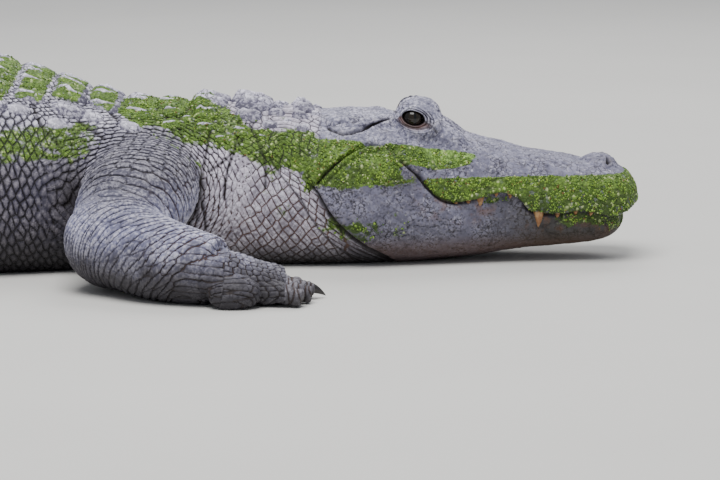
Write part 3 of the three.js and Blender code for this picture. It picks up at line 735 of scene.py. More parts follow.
def leg_fields(points):
    """Each point's nearest leg: way along it, turn round it, height over it, which, way past its hinge."""
    count = len(points)
    along, angle = np.zeros(count), np.zeros(count)
    excess, which = np.full(count, 9.0), np.zeros(count, int)
    elbow = np.ones(count)
    for index, leg in enumerate(LEGS.values()):
        line, way, radii = leg_path(*leg[1:])
        margin = 0.14
        low, high = line.min(0) - margin, line.max(0) + margin
        near = np.flatnonzero(((points > low) & (points < high)).all(1))
        directions, across, up = tube_frame(line)
        for chunk in np.array_split(near, max(1, len(near) // 20000)):
            p = points[chunk]
            gap2 = ((p[:, None] - line[None]) ** 2).sum(2)
            k = gap2.argmin(1)
            off = p - line[k]
            radial = np.sqrt(gap2[np.arange(len(k)), k])
            over = radial - radii[k]
            better = over < excess[chunk]
            chosen, k, off, over = chunk[better], k[better], off[better], over[better]
            along[chosen] = way[k] + (off * directions[k]).sum(1)
            angle[chosen] = np.arctan2((off * up[k]).sum(1), (off * across[k]).sum(1))
            excess[chosen] = over
            which[chosen] = index
            elbow[chosen] = (way[k] - way[LEG_STOPS - 1]) / 0.1
    return along, angle, excess, which, elbow


def fused_flesh(mesh_size):
    """Trunk, skull and legs as one closed mesh."""
    points, faces = joined([trunk_form()] + skull_forms() + leg_forms())
    piece = bpy.data.objects.new("flesh", mesh_of("flesh", points, faces))
    bpy.context.scene.collection.objects.link(piece)
    fuse = piece.modifiers.new("Fuse", "REMESH")
    fuse.mode = "VOXEL"
    fuse.voxel_size = mesh_size
    return evaluated(piece)


def split_tagged(work):
    """Halves the edges between the tagged points."""
    split = [e for e in work.edges if e.verts[0].tag and e.verts[1].tag]
    bmesh.ops.subdivide_edges(work, edges=split, cuts=1, use_grid_fill=True)


def refine(mesh, fine):
    """Makes the mesh twice as fine at the given points, and twice again round the eyes."""
    work = bmesh.new()
    work.from_mesh(mesh)
    work.verts.ensure_lookup_table()
    for vertex, keep in zip(work.verts, fine.tolist()):
        vertex.tag = keep
    split_tagged(work)
    centres = [Vector((EYE_CENTRE[0], side * EYE_CENTRE[1], EYE_CENTRE[2])) for side in (-1, 1)]
    for vertex in work.verts:
        vertex.tag = min((vertex.co - c).length for c in centres) < EYE_AREA
    split_tagged(work)
    work.to_mesh(mesh)
    work.free()


def hide_base(sizes):
    """The flesh as one fused form, smoothed where limbs join it and finer towards the head."""
    mesh = fused_flesh(sizes.mesh_size)
    points = points_of(mesh)
    edges = edges_of(mesh)
    s, across = along_spine(points[:, 0], points[:, 1])
    _, _, depth = girth(np.maximum(s, GIRTH_FROM), across, points[:, 2])
    _, _, excess, _, elbow = leg_fields(points)
    joint = bell(depth, 0.035) * bell(excess, 0.035) * (s > 0.5)
    joint += bell(depth, 0.06) * bell(excess, 0.06) * (points[:, 2] > 0.13) * (s > 0.5)
    bend = bell(elbow, 0.6) * (excess < 0.05)
    points = relaxed(points, edges, 0.5, 2)
    points = relaxed(points, edges, 0.6 * np.clip(joint + bend, 0, 1), 45)
    points = relaxed(points, edges, 0.5 * smooth(s, 0.45, 0.6), 3)
    set_points(mesh, points)
    limb_near = (excess < 0.02) & (points[:, 0] > 0.2) & (depth > -0.02)
    refine(mesh, (s < sizes.fine_to) | limb_near)
    set_points(mesh, relaxed(points_of(mesh), edges_of(mesh), 0.5, 2))
    return mesh


def pattern_of_body(points, s, way, share, fold):
    """Pattern coordinates of the net of scales on neck, trunk and tail, and how loose the net is."""
    stops = np.linspace(-0.2, 2.8, 1500)
    spacing = np.interp(stops, MM * np.array([0, 260, 340, 1000, 1060, 1130, 2700]),
                        MM * np.array([16, 15, 13, 13, 18, 42, 32]))
    columns = np.interp(s - 0.46, stops, np.cumsum((stops[1] - stops[0]) / spacing))
    height = np.interp(s, MM * np.array([400, 500, 700, 900, 1500, 1540]),
                       MM * np.array([18, 20, 22, 25, 26, 24]))
    rows = way / height + 0.4 * (np.clip(s, 0.3, 0.66) - 0.455) / 0.02 * smooth(way, 0.08, 0.16)
    tail = (s > 1.54) * 1.0
    rows = lerp(rows, share * 13, tail)
    shift = 0.25 * (1 - 0.7 * tail) * noise(points, 0.06)
    other = 0.25 * (1 - 0.7 * tail) * noise(points + 3.0, 0.06)
    columns, rows = columns + shift, rows + other
    strip = (fold < FOLD_STRIP) & (s < 0.53)
    columns = np.where(strip, fold / (10 * MM) + 0.3 * shift, columns)
    rows = np.where(strip, way / (17 * MM) + 0.31 + 0.3 * other, rows)
    across = np.where(tail, columns, columns + rows)
    down = np.where(tail, rows, columns - rows)
    loose = lerp(0.3, 0.5, smooth(s, 0.62, 0.8)) * (1 - 0.6 * tail)
    loose = np.where(way < 0.12, np.maximum(loose, 0.62 * (1 - tail)), loose)
    return np.stack([across, down, 0 * s], -1), loose


def pattern_of_legs(points, along, angle, excess, which):
    """Pattern coordinates of the rows of scales round a leg, which spread over the flank as rings."""
    way = along - np.maximum(excess, 0) * 0.9
    turn = (angle - math.pi / 2 + math.pi) % (2 * math.pi) - math.pi
    stops = np.linspace(-0.3, 0.7, 800)
    spacing = np.interp(stops, MM * np.array([-100, 60, 120, 190, 250, 330, 420]),
                        MM * np.array([10, 9, 11, 21, 13, 10, 9]))
    u = np.interp(way, stops, np.cumsum((stops[1] - stops[0]) / spacing))
    width = np.interp(way, MM * np.array([0, 120, 200, 280, 360]), MM * np.array([14, 19, 40, 27, 17]))
    v = turn * (0.062 + np.maximum(excess, 0)) / width + 7.3 * which
    slant = -LEG_SIDES[which] * turn * 2.6 * smooth(way, 0.2, 0.27) * (1 - smooth(way, 0.36, 0.42))
    return np.stack([u + slant + 0.3 * noise(points, 0.06), v, 0 * u], -1)


def eye_opening(s, z):
    """Distance from the middle of the eye's opening, 1 on the lids' edge, and the same for each lid."""
    ahead = (SNOUT_X - EYE_CENTRE[0]) - s
    up = z - EYE_CENTRE[2]
    p = ahead * math.cos(EYE_TILT) - up * math.sin(EYE_TILT)
    q = ahead * math.sin(EYE_TILT) + up * math.cos(EYE_TILT)
    wide = np.where(p > 0, 17 * MM, 15 * MM)
    return np.hypot(p / wide, q / np.where(q > 0, 11 * MM, 9.5 * MM)), p, q


def press_mouth(move, s, f):
    """The line of the mouth, the roll of the upper lip, and the creases along the rear of the lower jaw."""
    head, mouth = f["head"], f["mouth"]
    front = 1 - smooth(s, 0.262, 0.3)
    flank = smooth(f["out"], 0.03, 0.05) + (s < 0.04)
    lower = mouth < 0
    sharp = lerp(2.6, 2.2, front) * MM
    move -= lerp(7, 6, front) * MM * bell(mouth, sharp) * np.clip(flank, 0, 1) * head
    move += 1.6 * MM * bell(mouth - 7 * MM, 4.5 * MM) * head * front
    crease = 2.6 * MM * bell(mouth + 9.5 * MM, 1.9 * MM) * smooth(s, 0.335, 0.35)
    move -= crease * (1 - smooth(s, 0.43, 0.45)) * lower
    move += 1.4 * MM * bell(mouth + 5 * MM, 3 * MM) * smooth(s, 0.335, 0.35) * lower


def cut_ears(move, s, z, f):
    """The slit of each ear and the flap over it. Keeps the distance to the slit, and a mask of the ear."""
    ear = line_distance(s, z, EAR_SLIT)
    beside = (f["out"] > 0.04) * smooth(s, 0.344, 0.352) * (1 - smooth(s, 0.44, 0.45))
    flap = span(ear, 0.5 * MM, 4 * MM, 6 * MM, 14 * MM) * smooth(s, 0.352, 0.385)
    move += 2.6 * MM * flap * beside * (1 - smooth(s, 0.41, 0.44))
    move -= 5.5 * MM * bell(ear, 1.7 * MM) * beside
    f["ear"], f["beside"] = ear, beside


def fold_jowl(move, z, f):
    """The deep fold behind the jowl and two weak ones behind it."""
    fold = f["fold"]
    fold_depth = np.where(z < 0.115, 5.5, 2.5) * MM
    move -= fold_depth * bell(fold, 2.6 * MM) * (f["out"] > 0.03) * (z < 0.18)
    for k, depth in ((1, 1.6), (2, 1.0)):
        move -= depth * MM * bell(fold - k * 8 * MM, 2 * MM) * (z < 0.16)


def raise_ridges(move, s, y, f, normals):
    """Two low ridges in front of the eyes, and the trough between the eyes."""
    ridge = np.abs(f["out"] - np.interp(s, [0.16, 0.29], [0.026, 0.036]))
    upward = normals[:, 2] > 0.3
    raised = 3.2 * MM * bell(ridge, 6 * MM) * smooth(s, 0.15, 0.2)
    move += raised * (1 - smooth(s, 0.28, 0.31)) * upward
    trough = 2.5 * MM * bell(y, 10 * MM) * smooth(s, 0.2, 0.26)
    move -= trough * (1 - smooth(s, 0.33, 0.36)) * upward


def roughen_head(move, points, s, z, f, normals):
    """Wrinkles, and pits, cracks and knobs on the bony top. Keeps the mask of the wrinkles."""
    head = f["head"]
    rough = noise(points, 0.02, 4)
    fine = noise(points + 1.0, 0.006, 3)
    bony = head * smooth(z, 0.13, 0.16) * (f["mouth"] > 0)
    pitted = cells(points / 0.011, "DISTANCE_TO_EDGE", dimensions="3D")
    cracked = (1 - smooth(pitted, 0, 0.14)) * smooth(rough, -0.2, 0.4)
    winding = noise(points * np.array([0.55, 1, 1.5]) + 2.0, 0.022, 3)
    from_eye = np.hypot(s - 0.322, z - 0.21)
    wrinkle = bell(winding, 0.05) * head * smooth(noise(points + 8.0, 0.05), -0.6, 0.2)
    wrinkle *= smooth(from_eye, 0.02, 0.035)
    move -= 1.2 * MM * wrinkle
    knobs = cells(points / 0.016, "SMOOTH_F1", dimensions="3D")
    move += 1.8 * MM * (0.5 - knobs) * bony * (normals[:, 2] > 0.2)
    move += (1.6 * rough + 0.9 * fine - 1.1 * cracked) * MM * bony * smooth(from_eye, 0.01, 0.03)
    move += (0.8 * rough + 0.45 * fine) * MM * head * (1 - bony)
    f["wrinkle"] = wrinkle


def shape_head(points, normals, f):
    """The head's own forms, as moves of the points along their normals."""
    s, y, z = f["s"], points[:, 1], points[:, 2]
    move = np.zeros(len(s))
    press_mouth(move, s, f)
    cut_ears(move, s, z, f)
    fold_jowl(move, z, f)
    raise_ridges(move, s, y, f, normals)
    roughen_head(move, points, s, z, f, normals)
    return move


def shape_eyes(points, s):
    """Opens the lids over each eye: points near it move level, out of the head or into it."""
    y, z = points[:, 1], points[:, 2]
    spread, p, q = eye_opening(s, z)
    spread = spread + 0.07 * noise(points, 0.012) * smooth(spread, 1.05, 1.3)
    near = (spread < 2.6) & (np.abs(y) > 0.045) & (s < 0.36)
    side = np.sign(y)
    radial2 = p**2 + q**2
    globe = EYE_CENTRE[1] + np.sqrt(np.maximum(EYE_RADIUS**2 - radial2, 0))
    edge_p, edge_q = p / np.maximum(spread, 0.01), q / np.maximum(spread, 0.01)
    edge = np.maximum((EYE_RADIUS + 1 * MM) ** 2 - edge_p**2 - edge_q**2, (6 * MM) ** 2)
    edge = EYE_CENTRE[1] + np.sqrt(edge)
    outside = np.abs(y)
    lid = lerp(edge + 0.6 * MM, outside, smooth(spread, 1.08, 1.95))
    over = q > 0
    for at, depth, _ in LID_CREASES:
        lid -= depth * MM * bell(spread - at, 0.07) * np.where(over, 1, 0.8)
    lid += 1.1 * MM * bell(spread - 1.12, 0.07)
    inner = globe - 3.2 * MM
    target = lerp(inner, lid, smooth(spread, 0.93, 1.04))
    weight = 1 - smooth(spread, 2.0, 2.5)
    moved = points.copy()
    moved[:, 1] = np.where(near, side * lerp(outside, target, weight), y)
    for at, _, depth in LID_CREASES[:3]:
        moved[:, 2] -= depth * MM * bell(spread - at, 0.07) * near * smooth(q, 4 * MM, 12 * MM)
    return moved, np.where(near, spread, 9.0), np.where(near, q, 0)


def nostril_pit(points, s):
    """Distance from the middle of each nostril, a crescent on the bump at the snout's tip, 1 on its rim."""
    out = np.abs(points[:, 1]) - 27 * MM
    ahead = s - 43 * MM - 30 * out**2
    return np.hypot(ahead / (3.2 * MM), out / (9.5 * MM)) + 9 * (points[:, 2] < 0.12)


def skin_lines(s, z):
    """How near a point is to one of the long creases of the neck."""
    crease = np.zeros(s.shape)
    near = np.flatnonzero((s > 0.5) & (s < 0.9) & (z > 0.05))
    for k, line in enumerate(SKIN_LINES):
        gap = line_distance(s[near], z[near], line)
        crease[near] = np.maximum(crease[near], (1 - 0.07 * (k % 4)) * bell(gap, 2.2 * MM))
    return crease


def build_fields(points):
    """What the relief and the colours are made from, for each point of the hide."""
    s, across = along_spine(points[:, 0], points[:, 1])
    z = points[:, 2]
    way, share, depth = girth(np.maximum(s, GIRTH_FROM), across, z)
    fold = line_distance(s, z, JOWL_FOLD)
    along, angle, excess, which, elbow = leg_fields(points)
    limb = smooth(depth - excess, -0.006, 0.006) * (s > 0.5)
    reach = np.where(which < 2, 0.085, 0.06)
    head = (1 - smooth(fold, -0.002, 0.004)) * (1 - smooth(s, 0.452, 0.462) * (z > 0.16)) * (s < 0.51)
    net, loose = pattern_of_body(points, s, way, share, fold)
    return {
        "s": s, "out": np.abs(points[:, 1]), "way": way, "depth": depth, "excess": excess, "elbow": elbow,
        "fold": fold, "mouth": line_distance(s, z, MOUTH_LINE),
        "net": net, "loose": loose, "legs": pattern_of_legs(points, along, angle, excess, which),
        "rings": np.maximum(limb, (1 - smooth(excess, 0.35 * reach, reach)) * (s > 0.52)),
        "limb": limb, "head": head, "skin": 1 - head, "tail": smooth(s, 1.5, 1.7),
        "neck": (1 - smooth(s, 0.6, 0.75)) * (1 - head),
        "belly": smooth(share, 0.7, 0.8) * (1 - limb) * (1 - head),
        "nostril": nostril_pit(points, s), "crease": skin_lines(s, z) * (1 - limb),
        "lumps": noise(points, 0.05),
    }


def weed_edge(s, line):
    """The height of an edge of the duckweed."""
    return np.interp(s, line[:, 0], line[:, 1])


def weed_on_head(s, z, lumps, mouth):
    """How thickly duckweed lies on snout, lower jaw, cheek and jowl."""
    level = 0.127 + 0.0012 * lumps
    snout = smooth(mouth, -1 * MM, 3 * MM) * (1 - smooth(z, level - WEED_SOFT, level + WEED_SOFT))
    thinner = bell(mouth - 3 * MM, 5 * MM) * smooth(lumps, -0.5, 0.5)
    snout *= (1 - smooth(s, 0.3, 0.32)) * lerp(1, 0.6, thinner)
    stain = 0.66 * smooth(mouth, -30 * MM, -10 * MM) * (mouth < 0) * (1 - smooth(s, 0.1, 0.14))
    stain = np.maximum(stain, 0.55 * bell(mouth + 7 * MM, 7 * MM) * bell(s - 0.2, 0.03))
    low = weed_edge(s, CHEEK_WEED_LOW)
    high = weed_edge(s, CHEEK_WEED_HIGH) + 2 * MM * lumps
    strip = span(z, low - WEED_SOFT, low + WEED_SOFT, high - WEED_SOFT, high + WEED_SOFT) * (mouth > 0)
    strip *= smooth(s + 0.01 * lumps, 0.218, 0.26) * (1 - smooth(s, 0.47, 0.49))
    jowl = smooth(z + 8 * MM * lumps, 0.108, 0.132) * (1 - smooth(z, high - WEED_SOFT, high + WEED_SOFT))
    jowl *= (mouth < 0) * span(s, 0.3, 0.335, 0.47, 0.49)
    jowl *= 1 - 0.9 * bell(np.hypot((s - 0.334) / 0.013, (z - 0.14) / 0.016), 1.0)
    cheek = 0.66 * bell(z - 0.06, 0.025) * smooth(s, 0.28, 0.33) * (s < 0.5) * smooth(lumps, -0.6, 0.5)
    return [snout, stain, strip, jowl, cheek]


def weed_on_body(s, z, lumps):
    """How thickly duckweed lies in the band on neck and back, and thinly below it."""
    wave = 9 * MM * lumps
    low, high = weed_edge(s, BACK_WEED_LOW), weed_edge(s, BACK_WEED_HIGH)
    band = smooth(z + wave, low - 8 * MM, low + 8 * MM) * (1 - smooth(z - wave, high - 6 * MM, high + 6 * MM))
    band *= span(s, 0.455, 0.475, 1.2, 1.55)
    row = ((s + 0.35 * (z - 0.25) - FIRST_ROW) / SCUTE_ROW) % 1
    band *= 1 - 0.75 * bell(row - 0.5, 0.14) * smooth(s, 0.7, 0.74)
    band *= lerp(1, smooth(lumps, -1.0, -0.2), smooth(s, 0.55, 0.75))
    band *= lerp(1, 0.72, bell(s - 0.6, 0.07) * smooth(lumps, 0.3, -0.3))
    thin = 0.36 * smooth(lumps, -0.3, 0.5) * smooth(s, 0.46, 0.5)
    thin = thin * (1 - smooth(s, 0.66, 0.72)) * smooth(z, 0.05, 0.08)
    under = 0.62 * smooth(z + wave, 0.15, 0.17) * (1 - smooth(z + wave, 0.205, 0.218))
    under = under * smooth(s, 0.74, 0.8) * (1 - smooth(s, 1.2, 1.5))
    return [band, thin, under]


def duckweed_cover(s, z, lumps, mouth=1.0):
    """How thickly duckweed lies: the waterline round the snout, the jowls, and a band on neck and back."""
    layers = weed_on_head(s, z, lumps, mouth) + weed_on_body(s, z, lumps)
    return np.clip(np.max(layers, axis=0), 0, 1)


def scale_relief(points, z, f, normals):
    """The scales of body and legs, the creases where legs join, and the skin's own unevenness."""
    tail, neck, legs, rings = f["tail"], f["neck"], f["legs"], f["rings"]
    f["net_edge"] = cells(f["net"], "DISTANCE_TO_EDGE", loose=f["loose"])
    plump = lerp(lerp(2.4, 1.5, neck), 2.2, tail) * MM * (1 - 0.5 * f["belly"])
    roundness = lerp(0.42, 0.25, np.maximum(neck * smooth(f["way"], 0.1, 0.16), tail))
    relief = plump * smooth(f["net_edge"] / roundness, 0, 1) * f["skin"] * (1 - rings)

    leg_loose = np.full(len(z), LEG_LOOSE)
    leg_edge = cells(legs, "DISTANCE_TO_EDGE", loose=leg_loose)
    leg_middle = cells(legs, "F1", "Position", leg_loose)
    away = legs[:, 0] - leg_middle[:, 0]
    overlap = np.clip(away + 0.5, 0, 1)
    deep = 1 - 0.4 * bell(f["elbow"] - 0.3, 0.9)
    across_ring = smooth(np.abs(away), 0.2, 0.45)
    leg_relief = lerp(0.6, 1.9, across_ring) * smooth(leg_edge / 0.3, 0, 1) * MM * deep
    leg_relief += 1.5 * overlap * smooth(leg_edge / 0.15, 0, 1) * MM * deep - 1.3 * MM * across_ring
    relief += leg_relief * rings * f["skin"]

    junction = bell(f["depth"] - f["excess"], 0.011) * bell(f["excess"], 0.025) * (f["s"] > 0.5)
    junction *= (1 - smooth(normals[:, 2], 0.1, 0.5)) * (1 - smooth(z, 0.12, 0.17))
    relief -= (5 * junction + 2.6 * f["crease"]) * MM
    relief += 0.35 * MM * noise(points, 0.01, 3) * f["skin"]
    f["junction"] = junction
    return relief


def cut_nostrils(relief, f):
    """Each nostril's pit, its rim, and the rings behind it."""
    nostril = f["nostril"]
    relief -= 7 * MM * (1 - smooth(nostril, 0.5, 1.1)) - 1.6 * MM * bell(nostril - 1.5, 0.35)
    for at in NOSTRIL_RINGS:
        relief -= 0.9 * MM * bell(nostril - at, 0.22) * (f["s"] > 0.046)


def painted_shade_in_creases(z, f):
    """How dark the creases, slits and pits are: painted shade in them and in the armpit."""
    s, head, mouth = f["s"], f["head"], f["mouth"]
    marks = [
        np.clip(f["junction"] * 1.2 + bell(mouth, 2.2 * MM) * head * (z < 0.16), 0, 1),
        0.7 * bell(mouth, 1.6 * MM) * head * (z >= 0.16),
        bell(f["ear"], 1.9 * MM) * f["beside"],
        0.5 * f["wrinkle"],
        0.85 * f["crease"],
        0.8 * bell(f["fold"] - FOLD_STRIP, 1.2 * MM) * (s < 0.53) * f["skin"],
        bell(f["fold"], 3 * MM) * (z < 0.12) * (s < 0.5),
        1 - smooth(f["nostril"], 0.7, 1.2),
    ]
    # Painted shade in the armpit
    armpit = np.hypot((s - 0.802) / 0.024, (z - 0.112) / 0.034)
    marks.append(0.85 * bell(armpit, 1.0) * (1 - f["limb"]))
    for at, _, _ in LID_CREASES[:3]:
        above = (f["eye_up"] > -6 * MM) * (f["eye_up"] < 16 * MM)
        marks.append(0.75 * (bell(f["eye"] - at, 0.055) * above))
    tear = 0.85 * bell(line_distance(s, z, TEAR_LINE), 1.9 * MM)
    lid = 0.7 * bell(line_distance(s, z, LID_LINE), 1.3 * MM)
    marks.append(np.maximum(tear, lid) * (f["out"] > 0.035) * (s < 0.36))
    return np.max(marks, axis=0)


def store_marks(mesh, points, f, hollow):
    """Keeps what the hide's material and the fronds read from each point."""
    z, lumps, limb = points[:, 2], f["lumps"], f["limb"]
    green = duckweed_cover(f["s"], z, lumps, f["mouth"])
    over_limb = 0.34 * smooth(z + 20 * MM * lumps, 0.13, 0.17) * (f["s"] < 0.9)
    green = np.where(limb > 0.5, np.minimum(green, over_limb), green)
    # Painted shade in creases, slits and pits
    dark = painted_shade_in_creases(z, f)
    f["legs"][:, 2] = bell(f["elbow"] - 0.3, 0.9) * smooth(lumps, -1.2, -0.2)
    open_net = np.maximum(smooth(f["net_edge"], 0.04, 0.14), f["head"])
    store(mesh, "strew", green * (1 - dark) * open_net * smooth(noise(points + 7.0, 0.014, 3), -0.5, 0.2))
    store(mesh, "rest", points)
    for name in ("net", "legs", "loose"):
        store(mesh, name, f[name])
    store(mesh, "zone", np.stack([f["head"], f["rings"], f["belly"]], -1))
    store(mesh, "tone", np.stack([f["neck"], f["tail"], limb], -1))
    store(mesh, "cover", np.stack([green, dark, np.clip(hollow, -2, 2) * 0.25 + 0.5], -1))
    store(mesh, "lids", np.stack([np.minimum(f["eye"], 3), 1000 * f["eye_up"], 1000 * f["mouth"]], -1))


def dress_hide(sizes):
    """The hide's mesh with all its relief, and what its material reads from each point."""
    mesh = hide_base(sizes)
    points = points_of(mesh)
    edges = edges_of(mesh)
    normals = normals_of(mesh)
    f = build_fields(points)
    relief = scale_relief(points, points[:, 2], f, normals)
    relief += shape_head(points, normals, f)
    cut_nostrils(relief, f)
    moved = points + normals * relief[:, None]
    moved, f["eye"], f["eye_up"] = shape_eyes(moved, f["s"])
    moved[:, 2] = np.maximum(moved[:, 2], ABOVE_FLOOR)
    soft = relaxed(moved, edges, 0.6, 5)
    set_points(mesh, moved)
    # How hollow each point is, from which the material paints shade in the hollows
    hollow = ((soft - moved) * normals_of(mesh)).sum(1) / (0.8 * MM)
    store_marks(mesh, points, f, hollow)
    return mesh


def on_back(s, aside):
    """Where the skin of the back is, a way round from the midline: the point, then back, across and out."""
    row = girth_row(s)
    i = int(row)
    girths = lerp(GIRTH[i], GIRTH[i + 1], row - i)
    angle = float(np.interp(abs(aside), girths, GIRTH_ANGLE))
    if aside < 0:
        angle = math.pi - angle
    point = body_point(np.array(s), angle)
    back = unit(body_point(np.array(s + 4 * MM), angle) - body_point(np.array(s - 4 * MM), angle))
    across = body_point(np.array(s), angle - 0.03) - body_point(np.array(s), angle + 0.03)
    out = unit(np.cross(back, across))
    out = out * np.sign(out[2])
    return point, back, unit(np.cross(out, back)), out


def scute_form(place, length, width, height, chance, lean=0.0, keel=0.2):
    """A keeled plate, closed below: its points, faces and, for each point, how near the keel's top it is."""
    point, back, across, out = place
    u, v = np.meshgrid(np.linspace(-1, 1, SCUTE_GRID[0]), np.linspace(-1, 1, SCUTE_GRID[1]), indexing="ij")
    round_u = u * np.sqrt(1 - 0.28 * v**2)
    round_v = v * np.sqrt(1 - 0.34 * u**2)
    plate = ((1 - u**4) * (1 - v**4)) ** 0.5
    peak = SCUTE_PEAK + 2 * lean
    rise = np.where(u < peak, lerp(0.35, 1, smooth(u, -1, peak)), lerp(1, 0.2, smooth(u, peak, 1.0)))
    bend = 0.1 * np.sin(3 * u + 9 * chance)
    ridge = np.exp(-(np.abs(v - bend) / keel) ** 1.25)
    pits = 0.05 * np.sin(7 * u + 20 * chance) * np.sin(6 * v + 31 * chance)
    up = -SCUTE_SINK + (SCUTE_SINK + height * (0.4 + pits)) * plate + 0.6 * height * rise * ridge * plate**0.5
    along, side = round_u * length * 0.56, round_v * width * 0.54
    points = (point + along[..., None] * back + side[..., None] * across + up[..., None] * out).reshape(-1, 3)
    rows, columns = SCUTE_GRID
    index = np.arange(rows * columns).reshape(rows, columns)
    quads = np.stack([index[:-1, :-1], index[1:, :-1], index[1:, 1:], index[:-1, 1:]], -1).reshape(-1, 4)
    rim = np.concatenate([index[0, :], index[1:, -1], index[-1, -2::-1], index[-2:0:-1, 0]])
    top = np.clip(rise * ridge * plate, 0, 1).ravel()
    return points, quads.tolist() + [rim.tolist()], top


class Vary:
    """Seeded numbers, so that pieces vary alike on each run."""

    def __init__(self, seed):
        self.random = np.random.default_rng(seed)

    def __call__(self, amount):
        return 1 + amount * self.random.uniform(-1, 1)

    def chance(self):
        return self.random.uniform()


def neck_scutes(vary):
    forms = []
    for side in (-1, 1):
        for s, aside, length, width, height in NECK_SCUTES:
            place = on_back(s + 4 * MM * (vary(1) - 1), side * aside)
            size = (length * vary(0.08), width * vary(0.08), height * vary(0.1))
            forms.append(scute_form(place, *size, vary.chance()))
    return forms


def trunk_scutes(vary):
    """Keeled rows over the back, then rows of low smooth scutes along the flank."""
    forms = []
    rows = int((VENT - FIRST_ROW - 20 * MM) / SCUTE_ROW) + 1
    for row in range(rows):
        s = FIRST_ROW + row * SCUTE_ROW
        columns = 2 if row < 2 else 3 if row < 4 or row > rows - 5 else 4
        for k in range(columns):
            outer = k == columns - 1
            for side in (-1, 1):
                place = on_back(s + 3 * MM * (vary(1) - 1), side * (k + 0.52) * SCUTE_COLUMN)
                width = SCUTE_COLUMN * (0.82 if outer else 0.98) * vary(0.05)
                height = (10 if outer else 13) * MM * vary(0.12)
                forms.append(scute_form(place, SCUTE_ROW * 0.98 * vary(0.04), width, height, vary.chance()))
        for k in (0, 1):
            for side in (-1, 1):
                if k and (row < 4 or row > rows - 4):
                    continue
                aside = (columns + 0.42 + 0.72 * k) * SCUTE_COLUMN
                place = on_back(s + (0.5 * k + 0.2 * vary(0.5)) * SCUTE_ROW, side * aside)
                size = (34 - 8 * k) * MM * vary(0.1)
                height = 5.5 * MM * vary(0.1)
                forms.append(scute_form(place, size, size * 0.78, height, vary.chance(), keel=0.7))
    return forms


def tail_scutes(vary):
    """Two rows that grow into a double crest, then one row on the ridge, with low ones beside them."""
    forms = []
    s = VENT + 24 * MM
    while s < TOTAL_LENGTH - 30 * MM:
        half = body(np.array(s))[0]
        spacing = WHORL * lerp(1.05, 0.75, (s - VENT) / (TOTAL_LENGTH - VENT))
        grown = float(smooth(s, VENT, CREST_JOINS))
        if s < CREST_JOINS:
            for side in (-1, 1):
                point, back, across, out = on_back(s, side * half * lerp(0.52, 0.3, grown))
                out = unit(lerp(out, np.array([0, 0, 1]), 0.5 * grown))
                across = unit(np.cross(out, back))
                height = (13 + 29 * grown) * MM * vary(0.08)
                width = lerp(36, 17, grown) * MM
                place = (point, back, across, out)
                forms.append(scute_form(place, spacing * 1.04, width, height, vary.chance(),
                                        0.1 * grown, lerp(0.2, 0.5, grown)))
                low = on_back(s, side * half)
                width = 30 * MM * (1 - 0.4 * grown)
                forms.append(scute_form(low, spacing * 0.9, width, 7 * MM * vary(0.1), vary.chance()))
        else:
            fade = (s - CREST_JOINS) / (TOTAL_LENGTH - CREST_JOINS)
            height = lerp(46, 12, fade**1.3) * MM * vary(0.06)
            width = lerp(17, 8, fade) * MM
            forms.append(scute_form(on_back(s, 0.0), spacing * 1.06, width, height, vary.chance(), 0.12, 0.5))
        s += spacing
    return forms


def scute_mesh(name, forms):
    points, faces = joined([form[:2] for form in forms])
    top = np.concatenate([form[2] for form in forms])
    rough = np.stack([noise(points + k, 0.02, 4) for k in range(3)], -1)
    fine = np.stack([noise(points + 5 + k, 0.006, 3) for k in range(3)], -1)
    points = points + (1.7 * rough + 0.7 * fine) * MM
    mesh = mesh_of(name, points, faces)
    count = SCUTE_GRID[0] * SCUTE_GRID[1]
    chance = np.repeat(np.random.default_rng(5).uniform(size=len(forms)), count)
    s, _ = along_spine(points[:, 0], points[:, 1])
    green = duckweed_cover(s, points[:, 2], noise(points, 0.05)) * (1 - smooth(top, 0.3, 0.7))
    store(mesh, "strew", green)
    store(mesh, "rest", points)
    store(mesh, "scute", np.stack([top, chance, green], -1))
    mesh.shade_smooth()
    return mesh


def horn(base, tip, bow, radius, sides=14, steps=14):
    """A curved cone from base to tip, bowed out sideways."""
    t = np.linspace(0, 1, steps)[:, None]
    centres = lerp(base, tip, t) + bow * (4 * t * (1 - t))
    _, across, up = tube_frame(centres)
    angle = np.linspace(0, 2 * math.pi, sides, endpoint=False)[None, :, None]
    wide = radius * (1 - t**1.6)[:, None] + 0.25 * MM
    return loft(centres[:, None] + wide * (across[:, None] * np.cos(angle) + up[:, None] * np.sin(angle)))


def teeth_forms():
    forms = []
    for s, length in TEETH:
        half, edge = upper_jaw(s)[0], lip(s)[0]
        for side in (-1, 1):
            radius = 2.6 * MM + 0.25 * length
            base = np.array([SNOUT_X - s, side * (half - 5.6 * MM - 0.5 * radius), edge + 4 * MM])
            tip = base + np.array([-0.5 * MM, side * (0.35 * length - 2.6 * MM), -length - 4 * MM])
            forms.append(horn(base, tip, np.array([0.4 * MM, side * 0.8 * MM, 0]), radius))
    return forms


def claw_forms():
    forms = []
    for side, turn, plan, joints in LEGS.values():
        place, reach = foot_places(joints[-1, :3], turn, side, plan)
        toe, claw = plan["toe"], plan["claw"]
        for i in range(CLAWED_TOES):
            length = plan["toes"][i]
            base = place(*reach(i, 0.88), toe * 1.05)
            tip = place(*reach(i, 1 + claw / length), toe * 0.22)
            forms.append(horn(base, tip, np.array([0, 0, 2.6 * MM]), toe * 0.52))
    return forms


